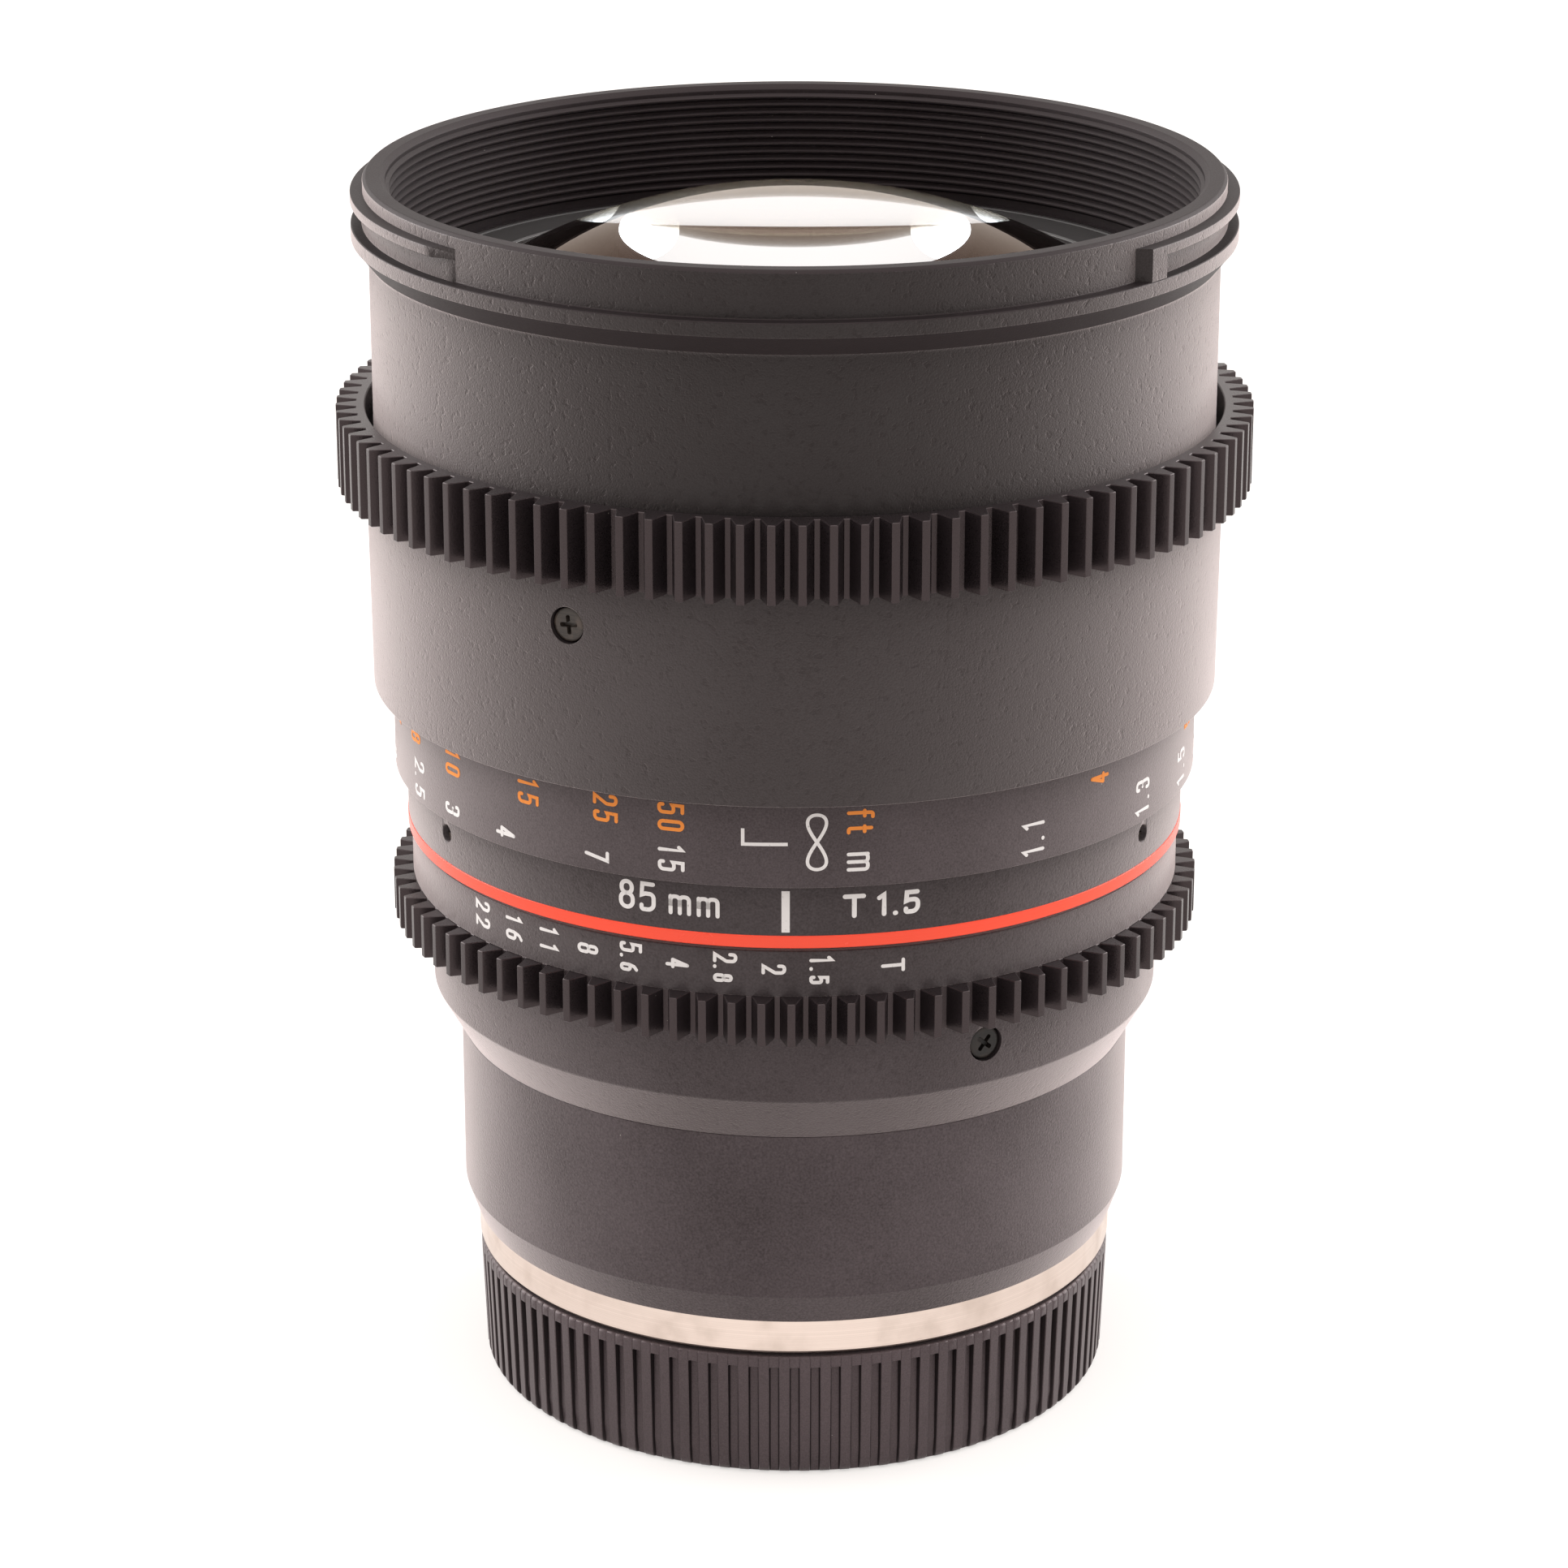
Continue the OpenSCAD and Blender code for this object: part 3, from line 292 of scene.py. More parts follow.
def noiseAt(tree, where, scale, detail=2.0):
    node = addNode(tree, "ShaderNodeTexNoise")
    join(tree, where, node.inputs["Vector"])
    if isinstance(scale, (int, float)):
        node.inputs["Scale"].default_value = scale
    else:
        join(tree, scale, node.inputs["Scale"])
    node.inputs["Detail"].default_value = detail
    return node.outputs["Fac"]


def makeGrainGroup():
    # pebbled paint or moulded skin: small bumps of one size with a slow drift in tone
    # Grain is the size of a bump and Drift that of the tone's patches, in mm; Pits sets how deep the hollows
    # are and how much painted shade they get
    sockets = {"Grain": 0.3, "Drift": 12.0, "Pits": 0.5}
    group, entry, leave = newGroup("skinGrain", sockets, ["Height", "Tone"])
    where = inMillimetres(group)
    perMm = doMath(group, "DIVIDE", 1.0, entry.outputs["Grain"])
    cells = addNode(group, "ShaderNodeTexVoronoi", feature="SMOOTH_F1")
    join(group, where, cells.inputs["Vector"])
    join(group, perMm, cells.inputs["Scale"])
    fine = noiseAt(group, where, perMm, 3.0)
    pebble = doMath(group, "SUBTRACT", 1.0, cells.outputs["Distance"])
    skin = doMath(group, "ADD", doMath(group, "MULTIPLY", pebble, 0.5), fine)
    broad = noiseAt(group, where, doMath(group, "MULTIPLY", perMm, 0.25), 2.0)
    dents = remap(group, broad, 0.58, 0.68, smooth=True)  # sparse hollows between the pebbles
    dents = doMath(group, "MULTIPLY", dents, entry.outputs["Pits"])
    join(group, doMath(group, "SUBTRACT", skin, dents), leave.inputs["Height"])
    slow = noiseAt(group, where, doMath(group, "DIVIDE", 1.0, entry.outputs["Drift"]), 4.0)
    drift = remap(group, slow, 0.3, 0.7, 0.25, 0.75)
    mottle = doMath(group, "ADD", drift, remap(group, fine, 0.3, 0.7, -0.4, 0.4))
    # painted shade: the hollows are also darkened in Tone, and so in base colour and coat weight
    hollowShade = doMath(group, "MULTIPLY", dents, 0.9)
    join(group, doMath(group, "SUBTRACT", mottle, hollowShade), leave.inputs["Tone"])
    return group


def makeDustGroup():
    # lone specks: a share of the cells holds one small dot each
    group, entry, leave = newGroup("dustSpecks", {"Spacing": 1.6, "Size": 0.05, "Share": 0.2}, ["Mask"])
    cells = addNode(group, "ShaderNodeTexVoronoi", feature="F1")
    join(group, inMillimetres(group), cells.inputs["Vector"])
    join(group, doMath(group, "DIVIDE", 1.0, entry.outputs["Spacing"]), cells.inputs["Scale"])
    apart = doMath(group, "MULTIPLY", cells.outputs["Distance"], entry.outputs["Spacing"])
    near = doMath(group, "LESS_THAN", apart, entry.outputs["Size"])
    parts = addNode(group, "ShaderNodeSeparateColor")
    join(group, cells.outputs["Color"], parts.inputs["Color"])
    chosen = doMath(group, "LESS_THAN", parts.outputs[0], entry.outputs["Share"])
    strength = remap(group, parts.outputs[1], 0.0, 1.0, 0.25, 1.0)
    speck = doMath(group, "MULTIPLY", near, chosen)
    join(group, doMath(group, "MULTIPLY", speck, strength), leave.inputs["Mask"])
    return group


def makeTurningGroup():
    # lathe marks: fine rings that follow the radius and the height only
    group, entry, leave = newGroup("turningMarks", {"Pitch": 0.12}, ["Height", "Tone"])
    parts = addNode(group, "ShaderNodeSeparateXYZ")
    join(group, inMillimetres(group), parts.inputs[0])
    square = [doMath(group, "MULTIPLY", parts.outputs[k], parts.outputs[k]) for k in (0, 1)]
    radius = doMath(group, "SQRT", doMath(group, "ADD", *square))
    along = doMath(group, "ADD", radius, doMath(group, "MULTIPLY", parts.outputs[2], 0.7))
    rings = addNode(group, "ShaderNodeTexNoise", noise_dimensions="1D")
    join(group, along, rings.inputs["W"])
    join(group, doMath(group, "DIVIDE", 1.0, entry.outputs["Pitch"]), rings.inputs["Scale"])
    rings.inputs["Detail"].default_value = 3.0
    join(group, rings.outputs["Fac"], leave.inputs["Height"])
    join(group, remap(group, rings.outputs["Fac"], 0.35, 0.65), leave.inputs["Tone"])
    return group


grainGroup = makeGrainGroup()
dustGroup = makeDustGroup()
turningGroup = makeTurningGroup()


def useGroup(tree, group, values):
    node = addNode(tree, "ShaderNodeGroup", node_tree=group)
    for label, value in values.items():
        node.inputs[label].default_value = value
    return node


def bumpTo(tree, shader, height, strength, depth):
    bump = addNode(tree, "ShaderNodeBump")
    bump.inputs["Strength"].default_value = strength
    bump.inputs["Distance"].default_value = depth * mm
    join(tree, height, bump.inputs["Height"])
    join(tree, bump.outputs["Normal"], shader.inputs["Normal"])


def startMaterial(name, **plain):
    material = bpy.data.materials.new(name)
    material.use_nodes = True
    shader = material.node_tree.nodes["Principled BSDF"]
    for label, value in plain.items():
        shader.inputs[label.replace("_", " ")].default_value = value
    return material, material.node_tree, shader


skinGloss = dict(Coat_Roughness=0.28, Coat_IOR=1.3, Sheen_Tint=(1.0, 0.87, 0.86, 1),
                 Specular_Tint=(1.0, 0.80, 0.81, 1))  # the same warm gloss on every black skin


def skinMaterial(look):
    # painted, moulded or anodised black: grain, drift in tone, dust
    material, tree, shader = startMaterial(
        look["name"], Specular_IOR_Level=look["specular"], Sheen_Weight=look.get("sheen", 0.0),
        Sheen_Roughness=look.get("haze", 0.4), **skinGloss)
    grain = useGroup(tree, grainGroup, {"Grain": look["grain"], "Pits": look.get("pits", 0.0)})
    dust = useGroup(tree, dustGroup, look["dust"])
    base = mixColour(tree, grain.outputs["Tone"], look["dark"], look["light"])
    join(tree, mixColour(tree, dust.outputs["Mask"], base, look["speck"]), shader.inputs["Base Color"])
    rough = remap(tree, grain.outputs["Tone"], 0.0, 1.0, *look["rough"])
    join(tree, doMath(tree, "MAXIMUM", rough, dust.outputs["Mask"]), shader.inputs["Roughness"])
    if look.get("coat"):
        coat = remap(tree, grain.outputs["Tone"], 0.0, 1.0, 0.5 * look["coat"], 1.5 * look["coat"])
        join(tree, coat, shader.inputs["Coat Weight"])
    bumpTo(tree, shader, grain.outputs["Height"], look["bump"], look["depth"])
    return material


def turnedMaterial(look):
    # cut metal: lathe marks, stains and a little dust
    material, tree, shader = startMaterial(look["name"], Metallic=look["metallic"],
                                           Specular_IOR_Level=look["specular"])
    marks = useGroup(tree, turningGroup, {"Pitch": look["pitch"]})
    stain = noiseAt(tree, inMillimetres(tree), look["stainScale"], 5.0)
    stained = remap(tree, stain, *look["stainRange"], smooth=True)
    dust = useGroup(tree, dustGroup, look["dust"])
    base = mixColour(tree, marks.outputs["Tone"], look["dark"], look["light"])
    base = mixColour(tree, stained, base, look["stain"])
    join(tree, mixColour(tree, dust.outputs["Mask"], base, look["speck"]), shader.inputs["Base Color"])
    join(tree, remap(tree, stained, 0.0, 1.0, *look["rough"]), shader.inputs["Roughness"])
    bumpTo(tree, shader, marks.outputs["Height"], look["bump"], look["depth"])
    return material


def glassMaterial(look):
    # clear glass with a thin coating and specks of dust
    material, tree, shader = startMaterial(look["name"], IOR=look["ior"], Transmission_Weight=1.0,
                                           Thin_Film_Thickness=look["film"], Thin_Film_IOR=1.38)
    mask = useGroup(tree, dustGroup, look["dust"]).outputs["Mask"]
    join(tree, mixColour(tree, mask, look["tint"], look["speck"]), shader.inputs["Base Color"])
    join(tree, remap(tree, mask, 0.0, 1.0, look["rough"], look["speckRough"]), shader.inputs["Roughness"])
    return material


def inkMaterial(look):
    # filled engraving: thin paint with small worn spots
    material, tree, shader = startMaterial(look["name"], Specular_IOR_Level=0.3, Roughness=0.55)
    wear = noiseAt(tree, inMillimetres(tree), 5.0, 4.0)
    worn = remap(tree, wear, 0.62, 0.74, smooth=True)
    join(tree, mixColour(tree, worn, look["ink"], look["worn"]), shader.inputs["Base Color"])
    bumpTo(tree, shader, wear, 0.2, 0.02)
    return material


quietDust = {"Spacing": 2.2, "Size": 0.045, "Share": 0.10}  # spacing and size in mm
gearDust = {"Spacing": 1.1, "Size": 0.04, "Share": 0.16}
paleSpeck = (0.55, 0.50, 0.46)


def paint(name, shade, grain=0.16, depth=0.075, coat=0.6, sheen=1.0, haze=0.46, rough=(0.30, 0.50),
          specular=0.15, pits=0.1, dust=quietDust):
    # shade is the red share; the paint is a slightly warm black, and haze widens the pale sheen at its sides
    dark = tuple(shade * part for part in (0.6, 0.47, 0.51))
    light = tuple(shade * part for part in (1.4, 1.09, 1.19))
    return skinMaterial(dict(
        name=name, grain=grain, depth=depth, bump=0.9, coat=coat, sheen=sheen, haze=haze, rough=rough,
        dust=dust, specular=specular, pits=pits, speck=paleSpeck, dark=dark, light=light))


# the barrel paints are darkest on the front barrel and paler on the parts lower down; the paler shades are
# partly painted light from the floor
frontPaint = paint("frontPaint", 0.0015, coat=0.5, haze=0.49, pits=0.6)
sleevePaint = paint("sleevePaint", 0.010, haze=0.525, pits=0.45)
scalePaint = paint("scalePaint", 0.047, depth=0.04)
stopPaint = paint("stopPaint", 0.026, grain=0.20, depth=0.06, pits=0.3)
rearPaint = paint("rearPaint", 0.042, pits=0.3)
extensionPaint = paint("extensionPaint", 0.052, grain=0.20, depth=0.06, haze=0.395)
gearPlastic = paint("gearPlastic", 0.016, grain=0.12, depth=0.012, coat=0, sheen=0, rough=(0.26, 0.34),
                    specular=0.5, dust=gearDust)
capPlastic = paint("capPlastic", 0.050, grain=0.14, depth=0.012, coat=0, sheen=0.1, rough=(0.34, 0.42),
                   specular=0.5, dust=gearDust)
boreBlackAndShade = paint("boreBlackAndShade", 0.010, depth=0.010, coat=0, sheen=0, rough=(0.48, 0.60),
                  specular=0.3, dust=gearDust)


def turnedFinish(name, **own):
    usual = dict(metallic=1.0, stainRange=(0.55, 0.8), specular=0.5, bump=0.15, depth=0.006, dust=quietDust)
    return turnedMaterial(dict(usual, name=name, **own))


innerBlack = skinMaterial(dict(
    name="innerBlack", grain=0.20, dark=(0.006, 0.006, 0.0062), light=(0.010, 0.010, 0.0105), specular=0.35,
    rough=(0.45, 0.60), bump=0.20, depth=0.010, dust={"Spacing": 1.8, "Size": 0.04, "Share": 0.15},
    speck=paleSpeck))
ringBlack = turnedFinish(
    "ringBlack", metallic=0.0, pitch=0.16, dark=(0.036, 0.034, 0.034), light=(0.056, 0.053, 0.053),
    stainScale=0.12, stain=(0.040, 0.037, 0.037), rough=(0.30, 0.42), specular=0.6, bump=0.25, depth=0.010,
    dust=gearDust, speck=paleSpeck)
satinNickel = turnedFinish(
    "satinNickel", pitch=0.10, dark=(0.69, 0.58, 0.515), light=(0.75, 0.635, 0.57), stainScale=0.30,
    stainRange=(0.40, 0.80), stain=(0.585, 0.485, 0.425), rough=(0.30, 0.44), bump=0.12,
    dust={"Spacing": 2.4, "Size": 0.07, "Share": 0.12}, speck=(0.05, 0.045, 0.04))
cutBrass = turnedFinish(
    "cutBrass", pitch=0.14, dark=(0.56, 0.40, 0.16), light=(0.66, 0.49, 0.22), stainScale=0.15,
    stain=(0.42, 0.30, 0.13), rough=(0.25, 0.40), depth=0.008, speck=(0.10, 0.08, 0.05))
screwLook = dict(metallic=0.0, pitch=0.09, stainScale=0.9, stainRange=(0.45, 0.65), rough=(0.36, 0.50),
                 dust={"Spacing": 0.5, "Size": 0.05, "Share": 0.2}, speck=(0.16, 0.14, 0.12))
# one screw finish in two shades: the paler copy on the focus screws is painted light and the darker copy on
# the rear screws is painted shade
screwBlack = turnedFinish("screwBlack", dark=(0.022, 0.017, 0.014), light=(0.044, 0.034, 0.028),
                          stain=(0.070, 0.052, 0.042), specular=0.4, **screwLook)
screwShadedCopy = turnedFinish("screwShadedCopy", dark=(0.008, 0.007, 0.006), light=(0.016, 0.013, 0.012),
                         stain=(0.026, 0.020, 0.017), specular=0.3, **screwLook)
bladeSteel = turnedFinish(
    "bladeSteel", metallic=0.6, pitch=0.20, dark=(0.020, 0.020, 0.022), light=(0.034, 0.034, 0.037),
    stainScale=0.2, stainRange=(0.5, 0.8), stain=(0.026, 0.026, 0.030), rough=(0.35, 0.50), bump=0.10,
    depth=0.005, speck=(0.05, 0.05, 0.05))
redLacquer = turnedFinish(
    "redLacquer", metallic=0.0, pitch=0.30, dark=(0.97, 0.068, 0.025), light=(0.99, 0.080, 0.031),
    stainScale=0.10, stainRange=(0.5, 0.8), stain=(0.95, 0.070, 0.033), rough=(0.26, 0.34), specular=0.45,
    bump=0.06, depth=0.004, speck=(0.9, 0.6, 0.5))
frontGlass = glassMaterial(dict(
    name="frontGlass", ior=1.82, film=110.0, tint=(1.0, 1.0, 1.0), rough=0.0, speck=(0.9, 0.88, 0.85),
    speckRough=0.7, dust={"Spacing": 3.5, "Size": 0.06, "Share": 0.12}))
innerGlass = glassMaterial(dict(
    name="innerGlass", ior=1.70, film=105.0, tint=(0.98, 0.99, 0.98), rough=0.0, speck=(0.9, 0.9, 0.85),
    speckRough=0.7, dust={"Spacing": 5.0, "Size": 0.05, "Share": 0.08}))
whiteInk = inkMaterial(dict(name="whiteInk", ink=(0.80, 0.77, 0.76), worn=(0.52, 0.50, 0.49)))
orangeInk = inkMaterial(dict(name="orangeInk", ink=(0.85, 0.27, 0.045), worn=(0.60, 0.20, 0.04)))
print("materials ready")


# front barrel with its filter thread, hood flange and the two bayonet sides

frontSettings = dict(
    tailIn=34.55, tailR=35.85, tail=87.0, skirt=89.0, barrelR=37.5, cone=105.8, flangeR=39.0, flange=107.6,
    flangeTop=108.85, rimR=37.9, top=112.95, bore=35.9, seatR=35.3, seat=102.5, seatFoot=99.5,
    threadRoot=35.55, threadTop=112.15, threadEnd=102.7, pitch=0.75, lead=0.45,
    flank=0.26, rootEnd=0.42, crest=0.66)  # the last three lie below the start of a thread's turn
hoodSettings = dict(
    root=36.9, lugR=39.0, wallR=38.05, low=108.8, lugLow=110.8, lugTop=111.7, lap=0.05, edge=0.12,
    endY=25.26, stop=1.65, leadX=28.25, lead=0.434)  # endY and leadX place the lugs' ends across the lens


def buildFrontBarrel(s):
    bore = [(s["bore"] + s["lead"], s["top"], 0.12), (s["bore"], s["top"] - s["lead"], 0.1)]
    z = s["threadTop"]
    while z - s["pitch"] > s["threadEnd"]:
        bore += [(s["bore"], z), (s["threadRoot"], z - s["flank"], 0.05),
                 (s["threadRoot"], z - s["rootEnd"], 0.05), (s["bore"], z - s["crest"])]
        z -= s["pitch"]
    profile = [(s["tailIn"], s["tail"]), (s["tailR"], s["tail"], 0.1), (s["tailR"] + 0.05, s["skirt"]),
               (s["barrelR"] - 0.1, s["skirt"], 0.15), (s["barrelR"], s["skirt"] + 0.25, 0.2),
               (s["barrelR"], s["cone"], 0.6), (s["flangeR"] - 0.28, s["flange"] - 0.3, 0.12),
               (s["flangeR"], s["flange"], 0.15), (s["flangeR"], s["flangeTop"], 0.14),
               (s["rimR"], s["flangeTop"], 0.12), (s["rimR"], s["top"] - 0.3, 0.2),
               (s["rimR"] - 0.3, s["top"], 0.2), *bore, (s["bore"], s["seat"]), (s["seatR"], s["seat"]),
               (s["seatR"], s["seatFoot"]), (s["tailIn"], s["seatFoot"])]
    piece = lathe("frontBarrel", profile)
    joinInto(piece, makePiece("hoodSides", *bundle(hoodParts(hoodSettings))))
    finishPiece(piece, frontPaint, "lens_body", "barrel_paint", "front_barrel")
    piece.data.materials.append(boreBlackAndShade)  # matt black in the bore; on level faces and on the flange's cone the same matt black is painted shade
    for face in piece.data.polygons:
        inward = face.center.x * face.normal.x + face.center.y * face.normal.y < 0
        face.material_index = int(inward or abs(face.normal.z) > 0.5)


def hoodParts(s):
    # lug, slot wall and stop block of one side; the other side is half a turn away

    def nearEnd(r):
        return math.degrees(math.acos(s["endY"] / r))

    def stopEnd(r):
        return math.degrees(math.acos((s["endY"] - s["stop"]) / r))

    def farEnd(r):
        slope = math.hypot(1, s["lead"])
        reach = (s["endY"] + s["lead"] * s["leadX"]) / (slope * r)
        return math.degrees(math.asin(reach) + math.atan2(1, s["lead"]))

    def block(r, low, high):
        return [(s["root"], low), (r, low, s["edge"]), (r, high, s["edge"]), (s["root"], high)]

    lug = sectorBlock(block(s["lugR"], s["lugLow"], s["lugTop"]), stopEnd, farEnd)
    wall = sectorBlock(block(s["wallR"], s["low"], s["lugLow"] + s["lap"]), stopEnd, farEnd)
    stop = sectorBlock(block(s["lugR"], s["low"], s["lugTop"]), nearEnd, stopEnd, 4)
    return [lug, wall, stop] + [turned(part, 180) for part in (lug, wall, stop)]


buildFrontBarrel(frontSettings)

# ring over the front glass: a shallow cone with a groove for the key
retainerSettings = dict(inner=29.3, seatR=30.8, outer=35.25, lip=102.195, foot=101.5, groove=(34.1, 34.6),
                        grooveZ=102.42, rim=102.48, outerZ=102.55, innerZ=102.58, brow=102.75, crown=102.885)


def buildRetainer(s):
    low, high = s["groove"]
    piece = lathe("frontRetainer", [
        (s["inner"], s["lip"]), (s["seatR"], s["lip"]), (s["seatR"], s["foot"]), (s["outer"], s["foot"]),
        (s["outer"], s["rim"], 0.08), (high, s["outerZ"], 0.05), (high - 0.15, s["grooveZ"], 0.04),
        (low + 0.15, s["grooveZ"], 0.04), (low, s["innerZ"], 0.05), (s["inner"] + 0.2, s["crown"], 0.06),
        (s["inner"], s["brow"], 0.06)], 288)
    finishPiece(piece, ringBlack, "lens_body", "inner_black", "front_retaining_ring")


buildRetainer(retainerSettings)
print("front barrel done")


# front glass: domes lathed finely, so that refraction stays clean

def sag(r, curve):
    return curve - math.sqrt(curve * curve - r * r)


glassSettings = dict(
    frontElement=dict(top=110.6, front=55, thick=10.5, rear=None, r=30.6),  # plano-convex
    secondElement=dict(top=99.3, front=60, thick=6.0, rear=120, r=29.0))


def buildElement(name, slot, material, node, steps=44):
    # rear is the radius of the rounded rear face, or None where it is flat
    s = glassSettings[name]
    across = [s["r"] * k / steps for k in range(steps + 1)]
    back = s["top"] - s["thick"]
    profile = [(x, s["top"] - sag(x, s["front"])) for x in across]
    profile += [(x, back - (sag(x, s["rear"]) if s["rear"] else 0)) for x in reversed(across)]
    piece = finishPiece(lathe(name, profile, 192, False), material, "lens_body", slot, node)
    piece.data.materials.append(innerBlack)  # the ground edge is blackened
    for face in piece.data.polygons:
        face.material_index = int(abs(face.normal.z) < 0.2)


buildElement("frontElement", "front_glass", frontGlass, "lens_1")
buildElement("secondElement", "glass", innerGlass, "lens_2")
print("front glass done")


# follow-focus gears: straight flanks, broken tip corners and face edges

gearSettings = dict(module=0.8, dedendum=1.25, flank=20, edge=0.06)
focusGear = dict(teeth=100, phi0=0.8, low=85.5, high=92.4,
                 bore=[(38.3, 92.4), (38.2, 92.3), (38.2, 88.5), (37.45, 88.5), (37.45, 85.5)])
apertureGear = dict(teeth=90, phi0=-0.5, low=44.75, high=48.7, bore=[(34.1, 48.7), (34.1, 44.75)])


def gearRing(s, gear, z, inset):
    teeth = gear["teeth"]
    pitchR = teeth * s["module"] / 2
    tipR = pitchR + s["module"] - inset
    rootR = pitchR - s["dedendum"] * s["module"] - inset
    half = 90 / teeth
    slope = math.tan(math.radians(s["flank"]))
    tipHalf = half - math.degrees((s["module"] * slope + inset) / pitchR)
    rootHalf = half + math.degrees((s["dedendum"] * s["module"] * slope - inset) / pitchR)
    c = s["edge"]
    corner = math.degrees(c / pitchR)
    tooth = [(rootR, -rootHalf - 0.6 * corner), (rootR + c, -rootHalf + 0.4 * corner),  # eased root
             (tipR - c, -tipHalf - 0.4 * corner), (tipR - 0.3 * c, -tipHalf + 0.2 * corner),  # broken tip
             (tipR, -tipHalf + corner)]
    tooth += [(r, -a) for r, a in reversed(tooth)]
    return [onCircle(r, gear["phi0"] + i * 360 / teeth + a, z) for i in range(teeth) for r, a in tooth]


def plainRing(s, gear, z, r):
    return [onCircle(r, math.degrees(math.atan2(p.x, -p.y)), z) for p in gearRing(s, gear, 0, 0)]


def buildGear(name, s, gear, body, node):
    c = s["edge"]
    low, high = gear["low"], gear["high"]
    rings = [gearRing(s, gear, low, c), gearRing(s, gear, low + c, 0), gearRing(s, gear, high - c, 0),
             gearRing(s, gear, high, c)]
    rings += [plainRing(s, gear, z, r) for r, z in gear["bore"]]
    piece = makePiece(name, *ringStack(rings), sharp=28)
    settleNormals(piece)
    return finishPiece(piece, gearPlastic, body, "gear_plastic", node)


buildGear("focusGear", gearSettings, focusGear, "focus_ring", "focus_gear")
buildGear("apertureGear", gearSettings, apertureGear, "aperture_control", "aperture_gear")
print("gears done")


# focus ring: the sleeve and the distance scale under it

focusSettings = dict(
    inner=36.45, footR=38.08, topR=38.25, neckR=37.4, foot=67.0, gearSeat=85.5, top=88.5,
    scaleIn=35.45, scaleR=36.35, scaleFoot=59.15, scaleTop=74.0)
focusHoles = dict(angles=(-30, 90, 210), z=81.4, radius=1.62)


def buildFocusRing(s):
    sleeve = lathe("focusSleeve", [
        (s["inner"], s["foot"]), (s["footR"], s["foot"], 0.07), (s["topR"], s["gearSeat"], 0.08),
        (s["neckR"], s["gearSeat"]), (s["neckR"], s["top"]), (s["inner"], s["top"])])
    drillHoles(sleeve, **focusHoles, fromR=37.0, surfaceR=38.22)
    finishPiece(sleeve, sleevePaint, "focus_ring", "barrel_paint", "focus_sleeve")
    paintShadeInHoles(sleeve, boreBlackAndShade, **focusHoles, surfaceR=38.2)
    scaleRing = lathe("distanceScale", [
        (s["scaleIn"], s["scaleFoot"]), (s["scaleR"], s["scaleFoot"], 0.05), (s["scaleR"], s["scaleTop"]),
        (s["scaleIn"], s["scaleTop"])])
    finishPiece(scaleRing, scalePaint, "focus_ring", "barrel_paint", "distance_scale_ring")


# fixed index ring, red trim and the aperture ring below it

bandSettings = dict(
    inner=33.05, indexR=35.3, indexFoot=54.4, indexTop=59.0, redIn=34.0, redR=35.35, redFoot=53.25,
    gearR=34.05, stopR=35.0, stopFoot=44.75, bandFoot=48.7, stopTop=52.9)
setScrewHoles = dict(angles=(-60.5, 60.5, 180), z=57.1, radius=0.8)


def buildBands(s):
    indexRing = lathe("indexRing", [
        (s["inner"], s["indexFoot"]), (s["indexR"], s["indexFoot"], 0.05), (s["indexR"], s["indexTop"], 0.08),
        (s["inner"], s["indexTop"])])
    drillHoles(indexRing, **setScrewHoles, fromR=33.5, surfaceR=s["indexR"], flare=0.1)
    finishPiece(indexRing, stopPaint, "lens_body", "barrel_paint", "index_ring")
    redRing = lathe("redTrim", [
        (s["redIn"], s["redFoot"]), (s["redR"], s["redFoot"], 0.12), (s["redR"], s["indexFoot"], 0.06),
        (s["redIn"], s["indexFoot"])])
    finishPiece(redRing, redLacquer, "lens_body", "red_paint", "red_trim_ring")
    apertureRing = lathe("apertureRing", [
        (s["inner"], s["stopFoot"]), (s["gearR"], s["stopFoot"]), (s["gearR"], s["bandFoot"]),
        (s["stopR"], s["bandFoot"], 0.08), (s["stopR"], s["stopTop"], 0.15), (s["inner"], s["stopTop"])])
    finishPiece(apertureRing, stopPaint, "aperture_control", "barrel_paint", "aperture_ring")


# rear barrel with its cone, mount extension and the metal mount ring

rearSettings = dict(
    floorR=24.5, foot=33.8, floorTop=36.5, rearR=33.3, cone=38.15, top=44.4, wallIn=31.95,
    extensionR=30.85, extensionIn=29.2, extensionFoot=15.5, taperR=29.88, taper=18.3, extensionTop=33.78,
    shelfIn=25, shelf=31.8)
rearHoles = dict(angles=(30, 150, 270), z=41.8, radius=1.62)
mountSettings = dict(
    throat=20.5, tubeR=21.6, tubeFoot=7.9, face=12.15, outer=29.6, top=15.5, lugIn=21.05, lugR=22.95,
    lugFoot=8.0, lugTop=9.4, lugHalf=27.5, lugsAt=(0, 120, 240))


